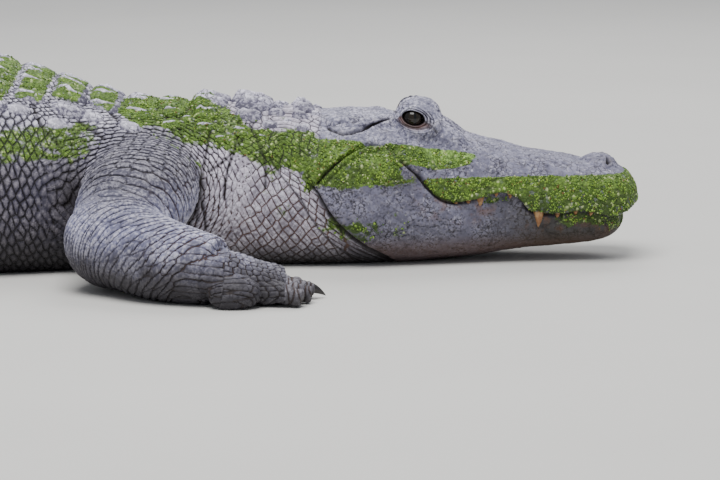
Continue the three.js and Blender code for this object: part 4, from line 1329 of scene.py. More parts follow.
def eye_mesh(side):
    """An eyeball whose clear front stands out a little, with what its material needs at each point."""
    theta = np.linspace(0.002, math.pi - 0.002, 64)[:, None]
    phi = np.linspace(0, 2 * math.pi, 64, endpoint=False)[None, :]
    bulge = 1 + 0.03 * bell(theta, 0.6)
    radius = (EYE_RADIUS - 0.5 * MM) * bulge
    out = radius * np.cos(theta) * np.ones_like(phi)
    ahead, up = radius * np.sin(theta) * np.cos(phi), radius * np.sin(theta) * np.sin(phi)
    y = side * (out * math.cos(EYE_GAZE) - ahead * math.sin(EYE_GAZE))
    x = out * math.sin(EYE_GAZE) + ahead * math.cos(EYE_GAZE)
    centre = EYE_CENTRE * np.array([1, side, 1])
    points, faces = loft(np.stack([x, y, up], -1) + centre)
    mesh = mesh_of("eyeball", points, faces)
    fix_facing(mesh)
    store(mesh, "iris", np.stack([ahead, up, out], -1).reshape(-1, 3) / EYE_RADIUS)
    mesh.shade_smooth()
    return mesh


def fix_facing(mesh):
    """Turns every closed part's faces outwards."""
    work = bmesh.new()
    work.from_mesh(mesh)
    bmesh.ops.recalc_face_normals(work, faces=work.faces)
    work.to_mesh(mesh)
    work.free()


def frond_ground(sources, low, high):
    """Triangles between two places along x: their corners, normals and how many fronds they may carry."""
    corners, normals, weights = [], [], []
    for piece in sources:
        mesh = piece.data
        mesh.calc_loop_triangles()
        triangles = np.empty(len(mesh.loop_triangles) * 3, np.int32)
        mesh.loop_triangles.foreach_get("vertices", triangles)
        triangles = triangles.reshape(-1, 3)
        corner = points_of(mesh)[triangles]
        area = np.linalg.norm(np.cross(corner[:, 1] - corner[:, 0], corner[:, 2] - corner[:, 0]), axis=1)
        x = corner.mean(1)[:, 0]
        cover = read(mesh, "strew")[triangles].mean(1)
        weights.append(area * smooth(cover, 0.2, 0.9) * ((x > low) & (x <= high)))
        corners.append(corner)
        normals.append(normals_of(mesh)[triangles].mean(1))
    return np.vstack(corners), np.vstack(normals), np.concatenate(weights)


def frond_faces(count):
    """Six triangles over each frond's top and six under it."""
    k = np.arange(FROND_SIDES)
    after = (k + 1) % FROND_SIDES
    shape = np.vstack([np.stack([k, after, np.full(FROND_SIDES, FROND_SIDES)], -1),
                       np.stack([after, k, np.full(FROND_SIDES, FROND_SIDES + 1)], -1)])
    return (np.arange(count)[:, None, None] * (FROND_SIDES + 2) + shape[None]).reshape(-1, 3)


def frond_uv(root, faces):
    """Each frond's own small patch of the map, by its place on the animal."""
    s, across = along_spine(root[:, 0], root[:, 1])
    _, way, _ = girth(np.maximum(s, GIRTH_FROM), across, root[:, 2])
    place = np.stack([0.02 + 0.96 * s / TOTAL_LENGTH, 0.5 + 0.48 * np.sign(across) * way], -1)
    turn = np.arange(FROND_SIDES) * math.tau / FROND_SIDES
    flat = PATCH / 2 * np.concatenate([np.stack([np.cos(turn), np.sin(turn)], -1), [[0, 0], [0, 0]]])
    return (place[:, None] + flat[None]).reshape(-1, 2)[faces.ravel()]


def frond_mesh(name, ground, count, seed):
    """Duckweed fronds strewn over the hide and the scutes, each a tiny closed lens."""
    random = np.random.default_rng(seed)
    corners, normals, weights = ground
    chosen = random.choice(len(weights), count, p=weights / weights.sum())
    share = random.dirichlet((1, 1, 1), count)
    root = (corners[chosen] * share[:, :, None]).sum(1)
    out = unit(unit(normals[chosen]) + random.normal(0, 0.2, (count, 3)))
    spin = unit(np.cross(out, random.normal(size=(count, 3))))
    other = np.cross(out, spin)
    size = random.uniform(0.8, 1.7, count)[:, None, None] * MM
    angle = np.linspace(0, 2 * math.pi, FROND_SIDES, endpoint=False)[None, :, None]
    rim = size * (1.25 * np.cos(angle) * spin[:, None] + 0.95 * np.sin(angle) * other[:, None])
    middle = root[:, None] + 0.45 * MM * out[:, None]
    top = middle + size * 0.42 * out[:, None]
    under = middle - size * 0.3 * out[:, None]
    points = np.concatenate([middle + rim, top, under], axis=1).reshape(-1, 3)
    faces = frond_faces(count)
    mesh = bpy.data.meshes.new(name)
    mesh.vertices.add(len(points))
    mesh.loops.add(faces.size)
    mesh.polygons.add(len(faces))
    mesh.vertices.foreach_set("co", points.astype(np.float32).ravel())
    mesh.loops.foreach_set("vertex_index", faces.astype(np.int32).ravel())
    mesh.polygons.foreach_set("loop_start", np.arange(0, faces.size, 3, dtype=np.int32))
    mesh.update(calc_edges=True)
    layer = mesh.uv_layers.new(name="OFBake")
    layer.data.foreach_set("uv", frond_uv(root, faces).astype(np.float32).ravel())
    store(mesh, "chance", np.repeat(random.uniform(size=(count, 3)), FROND_SIDES + 2, axis=0))
    return mesh


def shade(red, green, blue):
    """A colour as seen, from 0 to 255, in the renderer's linear values."""
    def linear(value):
        value /= 255
        return value / 12.92 if value <= 0.04045 else ((value + 0.055) / 1.055) ** 2.4
    return (linear(red), linear(green), linear(blue), 1.0)


# Colours of the hide, from head to tail
HEAD_KERATIN = shade(168, 167, 192)
# The lower neck, darker: painted shade under the neck
NECK_LOW_PAINTED_SHADE = shade(188, 176, 184)
NECK_PALE = shade(228, 216, 230)
# Painted shade low on the flank, below the widest line of the trunk
FLANK_PAINTED_SHADE = shade(62, 57, 66)
# Flakes dimmed in the painted shade low on the flank, and on the shoulder's own dark keratin
DIMMED_FLAKES = shade(98, 90, 96)
FOREARM = shade(150, 152, 192)
SHOULDER = shade(70, 68, 80)
BELLY = shade(150, 142, 122)
TAIL = shade(104, 104, 112)
DIM_SCALE = shade(84, 80, 100)
DARK_KERATIN = shade(58, 56, 76)
RUST = shade(104, 66, 42)
# Painted shade on the underside, near the floor
UNDERSIDE_PAINTED_SHADE = shade(20, 18, 18)
# Painted shade in creases, slits and pits
PAINTED_CREASE_SHADE = shade(24, 17, 16)

# Marks on the head
HEAD_FLECK = shade(56, 54, 74)
JAW_DOTS = shade(44, 40, 44)
JAW_TIP = shade(46, 42, 24)
JAW_EDGE = shade(120, 84, 58)
MOUTH_STAIN = shade(118, 76, 46)
LOWER_LID = shade(100, 68, 56)
# Painted shade on the rim of the lids, where they meet the eyeball
LID_RIM_SHADE = shade(30, 22, 22)

# Duckweed in shade and in the sun
DEEP_WEED = shade(48, 66, 24)
SUNNY_WEED = shade(152, 194, 88)

# Scutes
SCUTE_DARK = shade(146, 142, 168)
SCUTE_PALE = shade(192, 186, 208)
TRUNK_SCUTE = shade(92, 88, 104)
SCUTE_WORN_DARK = shade(74, 70, 88)

# Horn: pale, dark and in the cracks
TOOTH = (shade(198, 160, 112), shade(134, 88, 48), shade(60, 40, 26))
CLAW = (shade(78, 72, 68), shade(34, 31, 32), shade(18, 16, 16))

# What the hide's points carry for the material, by attribute
HIDE_FIELDS = {
    "zone": ("head", "rings", "belly"),
    "tone": ("neck", "tail", "limb"),
    # In cover: the duckweed, the painted shade in creases, and how hollow the hide is, for painted shade in
    # hollows
    "cover": ("cover", "dark", "relief"),
    "lids": ("lid", "lid_up", "mouth"),
}


class Graph:
    """Adds nodes to a tree. An input is a value or another node's socket."""

    def __init__(self, tree):
        self.tree = tree

    def node(self, kind, inputs=None, **settings):
        node = self.tree.nodes.new(kind)
        for key, value in settings.items():
            setattr(node, key, value)
        for key, value in (inputs or {}).items():
            if isinstance(value, bpy.types.NodeSocket):
                self.tree.links.new(value, node.inputs[key])
            else:
                node.inputs[key].default_value = value
        return node

    def math(self, operation, a, b=0.0, clamp=False):
        return self.node("ShaderNodeMath", {0: a, 1: b}, operation=operation, use_clamp=clamp).outputs[0]

    def times(self, value, *others):
        for other in others:
            value = self.math("MULTIPLY", value, other)
        return value

    def plus(self, a, b):
        return self.math("ADD", a, b)

    def minus(self, a, b):
        return self.math("SUBTRACT", a, b)

    def larger(self, a, b):
        return self.math("MAXIMUM", a, b)

    def between(self, value, low, high, to_low=0.0, to_high=1.0):
        """Maps a value smoothly from one range to another."""
        node = self.node("ShaderNodeMapRange", {
            "Value": value, "From Min": low, "From Max": high, "To Min": to_low, "To Max": to_high,
        }, interpolation_type="SMOOTHSTEP")
        return node.outputs["Result"]

    def mix(self, share, a, b):
        """Mixes two colours."""
        return self.node("ShaderNodeMix", {0: share, 6: a, 7: b}, data_type="RGBA").outputs[2]

    def blend(self, share, a, b):
        """Mixes two numbers."""
        return self.node("ShaderNodeMix", {0: share, 2: a, 3: b}, data_type="FLOAT").outputs[0]

    def attribute(self, name, output="Vector"):
        return self.node("ShaderNodeAttribute", attribute_name=name).outputs[output]

    def axes(self, vector):
        return self.node("ShaderNodeSeparateXYZ", {0: vector}).outputs[:]

    def channels(self, colour):
        return self.node("ShaderNodeSeparateColor", {0: colour}).outputs

    def parts(self, name):
        """The three numbers that an attribute holds."""
        return self.axes(self.attribute(name))

    def noise(self, place, size, detail=2.0, rough=0.5):
        node = self.node("ShaderNodeTexNoise", {
            "Vector": place, "Scale": 1 / size, "Detail": detail, "Roughness": rough,
        })
        return node.outputs["Fac"]

    def cells(self, place, size, feature="F1", loose=1.0, dimensions="3D"):
        node = self.node("ShaderNodeTexVoronoi", {
            "Vector": place, "Scale": 1 / size, "Randomness": loose,
        }, voronoi_dimensions=dimensions, feature=feature)
        return node.outputs


def group(name, inputs, outputs, build):
    """A shader node group with named sockets, built once."""
    if name in bpy.data.node_groups:
        return bpy.data.node_groups[name]
    tree = bpy.data.node_groups.new(name, "ShaderNodeTree")
    for socket, kind, default in inputs:
        made = tree.interface.new_socket(socket, in_out="INPUT", socket_type="NodeSocket" + kind)
        if default is not None:
            made.default_value = default
    for socket, kind in outputs:
        tree.interface.new_socket(socket, in_out="OUTPUT", socket_type="NodeSocket" + kind)
    graph = Graph(tree)
    made = build(graph, tree.nodes.new("NodeGroupInput").outputs)
    end = tree.nodes.new("NodeGroupOutput")
    for socket, value in made.items():
        tree.links.new(value, end.inputs[socket])
    return tree


def placed(graph, tree, inputs):
    """A group placed in a material with its own values: its outputs."""
    node = graph.node("ShaderNodeGroup", node_tree=tree)
    for key, value in inputs.items():
        if isinstance(value, bpy.types.NodeSocket):
            graph.tree.links.new(value, node.inputs[key])
        else:
            node.inputs[key].default_value = value
    return node.outputs


def weathered_keratin():
    """Old keratin: blotches, whitish flakes on what stands out, fine cracks, and painted shade in the
    hollows.
    """
    def build(g, i):
        place = i["Place"]
        blotch = g.noise(place, 0.03, 4, 0.6)
        speck = g.noise(place, 0.005, 3, 0.65)
        crack = g.cells(place, 0.0085, "DISTANCE_TO_EDGE")["Distance"]
        cracked = g.minus(1.0, g.between(crack, 0.0, 0.1))
        cracked = g.times(cracked, g.between(blotch, 0.4, 0.6))
        flaky = g.between(g.plus(speck, g.times(blotch, 0.6)), 0.74, 0.9)
        raised = g.between(i["Relief"], 0.52, 0.22)
        # Painted shade where the surface is hollow
        painted_hollow_shade = g.between(i["Relief"], 0.52, 0.8)
        light = g.math("MULTIPLY", flaky, g.plus(g.times(raised, 0.7), 0.45), clamp=True)
        colour = g.mix(g.between(blotch, 0.32, 0.68), i["Dark"], i["Color"])
        pores = g.times(g.between(speck, 0.52, 0.32), i["Cracks"])
        colour = g.mix(pores, colour, i["Dark"])
        colour = g.mix(g.times(raised, 0.5), colour, i["Light"])
        colour = g.mix(g.times(light, i["Flakes"]), colour, i["Light"])
        # Dark cracks, and painted shade in the hollows
        dim = g.larger(g.times(cracked, i["Cracks"]), g.times(painted_hollow_shade, 0.85))
        colour = g.mix(dim, colour, i["Groove"])
        height = g.plus(g.times(speck, 0.7), g.times(cracked, -0.7))
        return {"Color": colour, "Height": height}

    return group("Weathered keratin", [
        ("Place", "Vector", None), ("Relief", "Float", 0.5), ("Color", "Color", shade(110, 112, 130)),
        ("Dark", "Color", shade(70, 72, 88)), ("Light", "Color", shade(205, 205, 220)),
        ("Groove", "Color", shade(22, 20, 24)), ("Flakes", "Float", 0.6), ("Cracks", "Float", 0.5),
    ], [("Color", "Color"), ("Height", "Float")], build)


def duckweed_film():
    """A film of tiny green fronds that lies over a colour where the cover is thick enough."""
    def build(g, i):
        place = i["Place"]
        fronds = g.cells(place, 0.0036)
        edge = g.between(fronds["Distance"], 0.7, 0.35)
        patch = g.times(g.minus(g.noise(place, 0.013, 4, 0.65), 0.5), 1.5)
        cover = g.between(g.plus(i["Cover"], patch), 0.4, 0.62)
        pick = g.channels(fronds["Color"])
        cover = g.times(cover, g.between(pick[2], 0.0, 0.1, 0.5, 1.0))
        colour = g.mix(g.between(pick[0], 0.0, 1.0, 0.5, 1.0), i["Deep"], i["Green"])
        colour = g.mix(i["Shade"], colour, i["Deep"])
        colour = g.mix(g.between(g.noise(place, 0.03, 3), 0.35, 0.65, 0.0, 0.5), colour, i["Deep"])
        colour = g.mix(g.between(pick[1], 0.88, 0.98, 0.0, 0.7), colour, i["Bright"])
        colour = g.mix(g.between(edge, 0.0, 1.0, 0.4, 0.0), colour, i["Deep"])
        colour = g.mix(cover, i["Color"], colour)
        height = g.times(edge, cover)
        return {"Color": colour, "Height": height, "Cover": cover}

    return group("Duckweed film", [
        ("Place", "Vector", None), ("Cover", "Float", 0.0), ("Color", "Color", shade(110, 112, 130)),
        ("Deep", "Color", shade(46, 70, 22)), ("Green", "Color", shade(112, 150, 44)),
        ("Bright", "Color", shade(205, 220, 150)), ("Shade", "Float", 0.0),
    ], [("Color", "Color"), ("Height", "Float"), ("Cover", "Float")], build)


def new_material(name):
    material = bpy.data.materials.new(name)
    material.use_nodes = True
    tree = material.node_tree
    graph = Graph(tree)
    return material, graph, tree.nodes["Principled BSDF"]


def finish_material(graph, principled, colour, rough, height, distance):
    bump = graph.node("ShaderNodeBump", {"Height": height, "Strength": 1.0, "Distance": distance})
    graph.tree.links.new(colour, principled.inputs["Base Color"])
    graph.tree.links.new(rough, principled.inputs["Roughness"])
    graph.tree.links.new(bump.outputs[0], principled.inputs["Normal"])


def hide_fields(g):
    """The masks and measures of the hide, by name, with each point's place."""
    fields = {"rest": g.attribute("rest")}
    for attribute, names in HIDE_FIELDS.items():
        fields.update(zip(names, g.parts(attribute)))
    fields["ahead"], _, fields["height"] = g.axes(fields["rest"])
    fields["trunk"] = g.minus(1.0, g.larger(fields["neck"], fields["limb"]))
    return fields


def scale_masks(g, f):
    """The grooves between the scales, and a chance number for each scale."""
    loose = g.attribute("loose", "Fac")
    net, legs = g.attribute("net"), g.attribute("legs")
    net_edge = g.cells(net, 1.0, "DISTANCE_TO_EDGE", loose, "2D")["Distance"]
    net_cell = g.channels(g.cells(net, 1.0, "F1", loose, "2D")["Color"])[0]
    leg_edge = g.cells(legs, 1.0, "DISTANCE_TO_EDGE", LEG_LOOSE, "2D")["Distance"]
    leg_nearest = g.cells(legs, 1.0, "F1", LEG_LOOSE, "2D")
    leg_cell = g.channels(leg_nearest["Color"])[0]
    away = g.node("ShaderNodeVectorMath", {0: legs, 1: leg_nearest["Position"]}, operation="SUBTRACT")
    away = g.math("ABSOLUTE", g.axes(away.outputs[0])[0])
    ringed = g.between(away, 0.2, 0.42, 0.4, 1.0)
    ringed = g.times(ringed, g.between(g.axes(legs)[2], 0.0, 1.0, 1.0, 0.4))
    edge = g.blend(f["rings"], net_edge, leg_edge)
    leg_wide = g.between(f["height"], 0.1, 0.17, 0.085, 0.13)
    wide = g.blend(f["rings"], g.blend(f["neck"], 0.14, 0.085), leg_wide)
    groove = g.minus(1.0, g.between(edge, 0.015, wide))
    groove = g.times(groove, g.blend(f["rings"], 1.0, ringed), g.minus(1.0, f["head"]))
    return groove, g.blend(f["rings"], net_cell, leg_cell)


def hide_keratin(g, look, f, groove, cell):
    """Keratin in each region's own colour, with painted shade low on the neck and low on the flank,
    weathered, with dark or rusty grooves: its colour and height.
    """
    height, neck = f["height"], f["neck"]
    # Painted shade: the trunk darkens below its widest line
    low_flank_shade = g.times(f["trunk"], g.between(height, 0.215, 0.14))
    upper_leg = g.between(height, 0.09, 0.15)
    # The neck darkens towards the bottom: painted shade
    base = g.mix(neck, look.hide[:], g.mix(g.between(height, 0.04, 0.12), NECK_LOW_PAINTED_SHADE, NECK_PALE))
    for share, colour in (
        (g.times(low_flank_shade, 0.9), FLANK_PAINTED_SHADE), (f["limb"], g.mix(upper_leg, FOREARM, SHOULDER)),
        (f["head"], HEAD_KERATIN), (f["belly"], BELLY), (g.times(f["tail"], 0.4), TAIL),
        (g.between(cell, 0.0, 1.0, 0.0, 0.4), DIM_SCALE),
    ):
        base = g.mix(share, base, colour)
    # Flakes dim in the painted shade low on the flank, and on the shoulder's own dark keratin
    painted_shade_and_dark_shoulder = g.larger(g.times(low_flank_shade, 0.8), g.times(f["limb"], upper_leg, 0.5))
    keratin = placed(g, weathered_keratin(), {
        "Place": f["rest"], "Relief": f["relief"], "Color": base, "Groove": look.groove[:],
        "Light": g.mix(painted_shade_and_dark_shoulder, look.worn[:], DIMMED_FLAKES), "Dark": g.mix(0.6, base, DARK_KERATIN),
        "Flakes": 0.85, "Cracks": g.blend(f["head"], 0.35, 0.7),
    })
    rust = g.mix(g.times(neck, g.between(height, 0.19, 0.05)), look.groove[:], RUST)
    return g.mix(g.times(groove, 0.85), keratin["Color"], rust), keratin["Height"]


def mark_head(g, look, f, colour):
    """Flecks, the lower jaw's dots and dark tip, and brown along the mouth: the colour, and the dots."""
    rest, head, mouth, ahead = f["rest"], f["head"], f["mouth"], f["ahead"]
    fleck = g.noise(rest, 0.0065, 5, 0.75)
    patch = g.between(g.noise(rest, 0.025, 3), 0.35, 0.6, 0.2, 1.0)
    marked = g.times(head, patch, g.between(mouth, -6.0, 2.0, 0.55, 1.0))
    jaw = g.times(head, g.between(mouth, 0.0, -5.0))
    dotted = g.times(g.between(g.cells(rest, 0.0046)["Distance"], 0.42, 0.24), jaw)
    dotted = g.times(dotted, g.between(g.noise(rest, 0.03, 3), 0.35, 0.6, 0.45, 1.0))
    stain = g.times(g.between(g.noise(rest, 0.022, 4, 0.6), 0.48, 0.64), g.between(mouth, 12.0, 2.0))
    stain = g.times(stain, head, g.between(mouth, -40.0, -12.0), g.between(ahead, 0.76, 0.81))
    for share, mark in (
        (g.times(g.between(fleck, 0.49, 0.38), marked, 0.75), HEAD_FLECK),
        (g.times(g.between(fleck, 0.56, 0.66), marked, 0.7), look.worn[:]),
        (g.times(dotted, 0.7), JAW_DOTS),
        (g.times(g.between(ahead, 0.84, 0.98), jaw, 0.85), JAW_TIP),
        (g.times(stain, 0.5), MOUTH_STAIN),
        (g.times(head, g.between(f["height"], 0.05, 0.02), 0.55), JAW_EDGE),
    ):
        colour = g.mix(share, colour, mark)
    return colour, dotted


def mud_lids_and_painted_shade(g, look, f, colour):
    """Mud low on legs and body, painted shade on the underside, the brown of the lids, and painted shade on
    the rim of the lids.
    """
    height, limb = f["height"], f["limb"]
    murk = g.plus(height, g.times(g.noise(f["rest"], 0.03, 3), 0.06))
    low = g.times(g.between(murk, 0.14, 0.06), g.larger(limb, 0.3))
    # Painted shade: near-black towards the floor, weaker on head and legs
    under = g.between(height, g.blend(f["trunk"], 0.05, 0.09), 0.01, 0.0, 0.85)
    under = g.times(under, g.between(f["head"], 0.0, 1.0, 1.0, 0.4), g.between(limb, 0.0, 1.0, 1.0, 0.5))
    brown = g.times(g.between(f["lid"], 1.9, 1.2), g.between(f["lid_up"], 2.0, -4.0))
    # Mud and the lids' brown are the hide's own colours; the underside and the lids' rim are painted shade
    for share, dirt_and_shade in (
        (g.times(low, 0.88), look.mud[:]), (under, UNDERSIDE_PAINTED_SHADE), (g.times(brown, 0.85), LOWER_LID),
        (g.between(f["lid"], 1.12, 0.98), LID_RIM_SHADE),
    ):
        colour = g.mix(share, colour, dirt_and_shade)
    return colour


def hide_weed(g, look, f, colour):
    """The film of duckweed over the hide, with painted sunlight on top of the snout and painted shade low on
    the head.
    """
    sunny = g.times(f["head"], g.between(f["height"], 0.128, 0.146), g.between(f["ahead"], 0.75, 0.81))
    return placed(g, duckweed_film(), {
        "Place": f["rest"], "Cover": f["cover"], "Color": colour, "Deep": DEEP_WEED,
        "Green": g.mix(sunny, look.duckweed[:], SUNNY_WEED),
        "Shade": g.times(f["head"], g.between(f["height"], 0.118, 0.075, 0.0, 0.75)),
    })


def hide_material(look):
    """The hide: lavender-grey keratin in a net of scales, dark in the grooves, with duckweed and mud, and
    painted shade in creases, hollows and low on the body.
    """
    material, g, principled = new_material("alligator_hide")
    f = hide_fields(g)
    groove, cell = scale_masks(g, f)
    colour, height = hide_keratin(g, look, f, groove, cell)
    colour, dotted = mark_head(g, look, f, colour)
    film = hide_weed(g, look, f, mud_lids_and_painted_shade(g, look, f, colour))
    colour = g.mix(g.times(groove, film["Cover"], 0.85), film["Color"], look.groove[:])
    # Painted shade in the creases, slits and pits
    colour = g.mix(g.times(f["dark"], 0.93), colour, PAINTED_CREASE_SHADE)
    rough = g.between(g.noise(f["rest"], 0.02, 3), 0.2, 0.8, 0.5, 0.78)
    height = g.plus(g.times(height, 0.7), g.times(groove, -1.1))
    height = g.plus(height, g.times(film["Height"], 0.6))
    height = g.plus(height, g.times(dotted, -0.4))
    finish_material(g, principled, colour, rough, height, 0.0012)
    principled.inputs["Specular IOR Level"].default_value = 0.4
    return material


def scute_material(look):
    """Bony scutes: whitish worn keels on lavender-grey keratin, with duckweed in the lee of the keels."""
    material, g, principled = new_material("alligator_scutes")
    rest = g.attribute("rest")
    top, chance, green = g.parts("scute")
    base = g.mix(chance, SCUTE_DARK, SCUTE_PALE)
    on_trunk = g.between(g.axes(rest)[0], 0.43, 0.36)
    base = g.mix(g.times(on_trunk, 0.5), base, TRUNK_SCUTE)
    keratin = placed(g, weathered_keratin(), {
        # Plates darken a little away from the keel: painted shade of the hollows
        "Place": rest, "Relief": g.minus(0.6, g.times(top, 0.55)), "Color": base,
        "Light": look.worn[:], "Groove": look.groove[:], "Dark": SCUTE_WORN_DARK,
        "Flakes": 1.0, "Cracks": 0.8,
    })
    film = placed(g, duckweed_film(), {
        "Place": rest, "Cover": green, "Color": keratin["Color"], "Green": look.duckweed[:]})
    rough = g.between(g.noise(rest, 0.02, 3), 0.2, 0.8, 0.55, 0.8)
    height = g.plus(g.times(keratin["Height"], 0.6), g.times(film["Height"], 0.6))
    finish_material(g, principled, film["Color"], rough, height, 0.0012)
    return material


def eye_material():
    """A dark wet eye: brown-gold iris round an upright slit."""
    material, g, principled = new_material("alligator_eye")
    ahead, up, _ = g.parts("iris")
    slit_ahead, slit_up = g.math("DIVIDE", ahead, 0.14), g.math("DIVIDE", up, 0.62)
    slit = g.plus(g.math("POWER", slit_ahead, 2.0), g.math("POWER", slit_up, 2.0))
    radius = g.math("SQRT", g.plus(g.times(ahead, ahead), g.times(up, up)))
    spokes = g.noise(g.attribute("iris"), 0.06, 4)
    iris = g.mix(g.between(spokes, 0.35, 0.7), shade(14, 11, 9), shade(48, 37, 22))
    iris = g.mix(g.between(radius, 0.5, 0.78), iris, shade(20, 15, 13))
    colour = g.mix(g.between(slit, 1.25, 0.85), iris, shade(3, 3, 4))
    rough = g.between(radius, 0.7, 0.95, 0.06, 0.18)
    finish_material(g, principled, colour, rough, g.times(spokes, 0.05), 0.0004)
    principled.inputs["Specular IOR Level"].default_value = 0.2
    principled.inputs["Coat Weight"].default_value = 0.5
    principled.inputs["Coat Roughness"].default_value = 0.03
    return material


def horn_material(name, pale, dark, low):
    """Teeth or claws: blotches of stain between a pale and a dark horn colour, weathered, with uneven
    roughness and fine bumps.
    """
    material, g, principled = new_material(name)
    rest = g.attribute("rest")
    band = g.noise(rest, 0.0035, 3)
    stain = g.noise(rest, 0.012, 3)
    colour = g.mix(g.between(stain, 0.35, 0.7), pale, dark)
    keratin = placed(g, weathered_keratin(), {
        "Place": rest, "Relief": 0.5, "Color": colour, "Dark": dark, "Light": pale, "Groove": low,
        "Flakes": 0.3, "Cracks": 0.3})
    rough = g.between(band, 0.2, 0.8, 0.3, 0.55)
    finish_material(g, principled, keratin["Color"], rough, band, 0.0003)
    return material


def frond_material(look):
    """Duckweed fronds: each its own green, some paler, a few yellow or dead."""
    material, g, principled = new_material("duckweed_fronds")
    first, second, third = g.parts("chance")
    colour = g.mix(g.between(first, 0.0, 0.9), shade(56, 86, 26), look.duckweed[:])
    colour = g.mix(g.between(second, 0.6, 1.0), colour, shade(150, 182, 70))
    colour = g.mix(g.between(third, 0.97, 0.99), colour, shade(212, 220, 160))
    colour = g.mix(g.between(third, 0.06, 0.02), colour, shade(120, 92, 44))
    rough = g.between(first, 0.0, 1.0, 0.35, 0.6)
    finish_material(g, principled, colour, rough, g.noise(g.attribute("chance"), 0.3), 0.0002)
    return material


class AlligatorSizes(bpy.types.PropertyGroup):
    """Sizes that a user would change."""

    mesh_size: bpy.props.FloatProperty(
        name="Mesh Size", description="Spacing of the hide's points over trunk and tail",
        default=3.3 * MM, min=2 * MM, max=10 * MM, unit="LENGTH")
    fine_to: bpy.props.FloatProperty(
        name="Fine To", description="How far behind the snout tip the hide's mesh is twice as fine",
        default=700 * MM, min=0.4, max=3.2, unit="LENGTH")
    fronds: bpy.props.IntProperty(
        name="Fronds", description="Duckweed fronds on each of the three strewn areas", default=6000, min=100,
        max=16000)


class AlligatorLook(bpy.types.PropertyGroup):
    """Colours that a user would change."""

    hide: bpy.props.FloatVectorProperty(
        name="Hide", description="Keratin of trunk and tail", subtype="COLOR", size=4,
        default=shade(150, 146, 162))
    worn: bpy.props.FloatVectorProperty(
        name="Worn Keratin", description="Dry flakes and worn ridges", subtype="COLOR", size=4,
        default=shade(232, 228, 242))
    groove: bpy.props.FloatVectorProperty(
        name="Grooves", description="Skin between the scales", subtype="COLOR", size=4,
        default=shade(26, 22, 26))
    duckweed: bpy.props.FloatVectorProperty(
        name="Duckweed", description="Living fronds of duckweed", subtype="COLOR", size=4,
        default=shade(122, 156, 58))
    mud: bpy.props.FloatVectorProperty(
        name="Mud", description="Mud low on the legs and jaws", subtype="COLOR", size=4,
        default=shade(50, 45, 44))


class ALLIGATOR_OT_stage(bpy.types.Operator):
    """Adds the pale floor, the soft studio light and the camera"""

    bl_idname = "alligator.stage"
    bl_label = "Stage"

    def execute(self, context):
        bpy.ops.mesh.primitive_plane_add(size=60)
        floor = context.object
        floor.name = "floor"
        material, g, principled = new_material("pale_floor")
        tint = g.mix(g.noise(g.node("ShaderNodeTexCoord").outputs["Object"], 0.4, 3), shade(214, 212, 206),
                     shade(222, 220, 214))
        g.tree.links.new(tint, principled.inputs["Base Color"])
        principled.inputs["Roughness"].default_value = 0.85
        floor.data.materials.append(material)

        world = bpy.data.worlds.new("studio")
        world.use_nodes = True
        background = world.node_tree.nodes["Background"]
        background.inputs["Color"].default_value = SKY
        background.inputs["Strength"].default_value = SKY_STRENGTH
        context.scene.world = world
        for name, (place, aim, size, power) in LAMPS.items():
            lamp = bpy.data.lights.new(name, "AREA")
            lamp.size = size
            lamp.energy = power
            light = bpy.data.objects.new(name, lamp)
            light.location = place
            light.rotation_euler = (Vector(aim) - Vector(place)).to_track_quat("-Z", "Y").to_euler()
            context.scene.collection.objects.link(light)

        camera = bpy.data.objects.new("camera", bpy.data.cameras.new("camera"))
        camera.data.lens = CAMERA_LENS
        camera.data.sensor_width = CAMERA_SENSOR
        camera.data.clip_end = 100
        aim = Vector(CAMERA_AIM)
        away = Vector((0, -math.cos(CAMERA_ELEVATION), math.sin(CAMERA_ELEVATION)))
        camera.location = aim + away * CAMERA_DISTANCE
        camera.rotation_euler = (aim - camera.location).to_track_quat("-Z", "Y").to_euler()
        context.scene.collection.objects.link(camera)
        context.scene.camera = camera
        return {"FINISHED"}


class ALLIGATOR_OT_hide(bpy.types.Operator):
    """Adds the hide, one skin over head, neck, trunk, tail and legs"""

    bl_idname = "alligator.hide"
    bl_label = "Hide"

    def execute(self, context):
        settings = context.scene.alligator_sizes
        mesh = dress_hide(settings)
        mesh.shade_smooth()
        mesh.materials.clear()
        piece = added("hide", mesh, hide_material(context.scene.alligator_look))
        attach(piece, BODY_NAME)
        flesh = [name for name in frame["nodes"] if not name.startswith("eye")]
        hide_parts(*flesh)
        return {"FINISHED"}


class ALLIGATOR_OT_scutes(bpy.types.Operator):
    """Adds the bony scutes of neck, back and tail"""

    bl_idname = "alligator.scutes"
    bl_label = "Scutes"

    def execute(self, context):
        material = scute_material(context.scene.alligator_look)
        for seed, (name, make) in enumerate((
            ("neck_scutes", neck_scutes), ("back_scutes", trunk_scutes), ("tail_scutes", tail_scutes),
        )):
            mesh = scute_mesh(name, make(Vary(seed + 3)))
            fix_facing(mesh)
            piece = added(name, mesh, material)
            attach(piece, BODY_NAME)
        return {"FINISHED"}


class ALLIGATOR_OT_eyes(bpy.types.Operator):
    """Adds both eyeballs"""

    bl_idname = "alligator.eyes"
    bl_label = "Eyes"

    def execute(self, context):
        material = eye_material()
        for name, side in (("right", -1), ("left", 1)):
            piece = added("eyeball_" + name, eye_mesh(side), material)
            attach(piece, BODY_NAME)
            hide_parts("eye_" + name)
        return {"FINISHED"}


class ALLIGATOR_OT_horn(bpy.types.Operator):
    """Adds the teeth that show and the claws"""

    bl_idname = "alligator.horn"
    bl_label = "Teeth and Claws"

    def execute(self, context):
        for name, forms, material in (
            ("teeth", teeth_forms(), horn_material("teeth", *TOOTH)),
            ("claws", claw_forms(), horn_material("claws", *CLAW)),
        ):
            points, faces = joined(forms)
            mesh = mesh_of(name, points, faces)
            fix_facing(mesh)
            store(mesh, "rest", points)
            mesh.shade_smooth()
            piece = added(name, mesh, material)
            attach(piece, BODY_NAME)
        return {"FINISHED"}


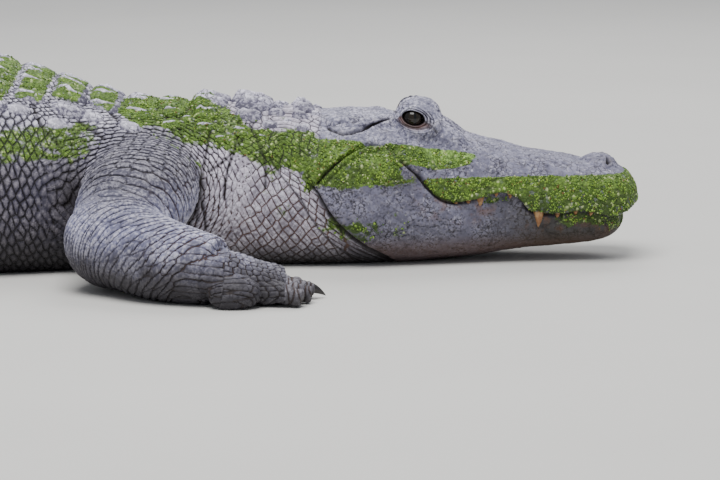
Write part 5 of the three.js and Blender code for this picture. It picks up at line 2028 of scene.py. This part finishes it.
class ALLIGATOR_OT_duckweed(bpy.types.Operator):
    """Strews duckweed fronds over head, neck and back"""

    bl_idname = "alligator.duckweed"
    bl_label = "Duckweed"

    def execute(self, context):
        material = frond_material(context.scene.alligator_look)
        objects = bpy.data.objects
        sources = [objects[name] for name in ("hide", "neck_scutes", "back_scutes")]
        count = context.scene.alligator_sizes.fronds
        for seed, (name, (low, high)) in enumerate(WEED_STRETCHES.items()):
            mesh = frond_mesh(name, frond_ground(sources, low, high), count, seed + 20)
            piece = added(name, mesh, material)
            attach(piece, BODY_NAME)
        return {"FINISHED"}


class ALLIGATOR_PT_panel(bpy.types.Panel):
    """Lists the sizes, the colours and the steps"""

    bl_label = "Alligator"
    bl_idname = "ALLIGATOR_PT_panel"
    bl_space_type = "VIEW_3D"
    bl_region_type = "UI"
    bl_category = "Alligator"

    def draw(self, context):
        for settings in (context.scene.alligator_sizes, context.scene.alligator_look):
            for name in settings.__annotations__:
                self.layout.prop(settings, name)
        for operator in OPERATORS:
            self.layout.operator(operator.bl_idname)


OPERATORS = (
    ALLIGATOR_OT_stage, ALLIGATOR_OT_hide, ALLIGATOR_OT_scutes, ALLIGATOR_OT_eyes, ALLIGATOR_OT_horn,
    ALLIGATOR_OT_duckweed,
)
CLASSES = (AlligatorSizes, AlligatorLook) + OPERATORS + (ALLIGATOR_PT_panel,)


def register():
    for cls in CLASSES:
        bpy.utils.register_class(cls)
    bpy.types.Scene.alligator_sizes = bpy.props.PointerProperty(type=AlligatorSizes)
    bpy.types.Scene.alligator_look = bpy.props.PointerProperty(type=AlligatorLook)


def unregister():
    del bpy.types.Scene.alligator_look
    del bpy.types.Scene.alligator_sizes
    for cls in reversed(CLASSES):
        bpy.utils.unregister_class(cls)


def main():
    register()
    bpy.ops.alligator.stage()
    bpy.ops.alligator.hide()
    bpy.ops.alligator.scutes()
    bpy.ops.alligator.eyes()
    bpy.ops.alligator.horn()
    bpy.ops.alligator.duckweed()


if __name__ == "__main__":
    main()
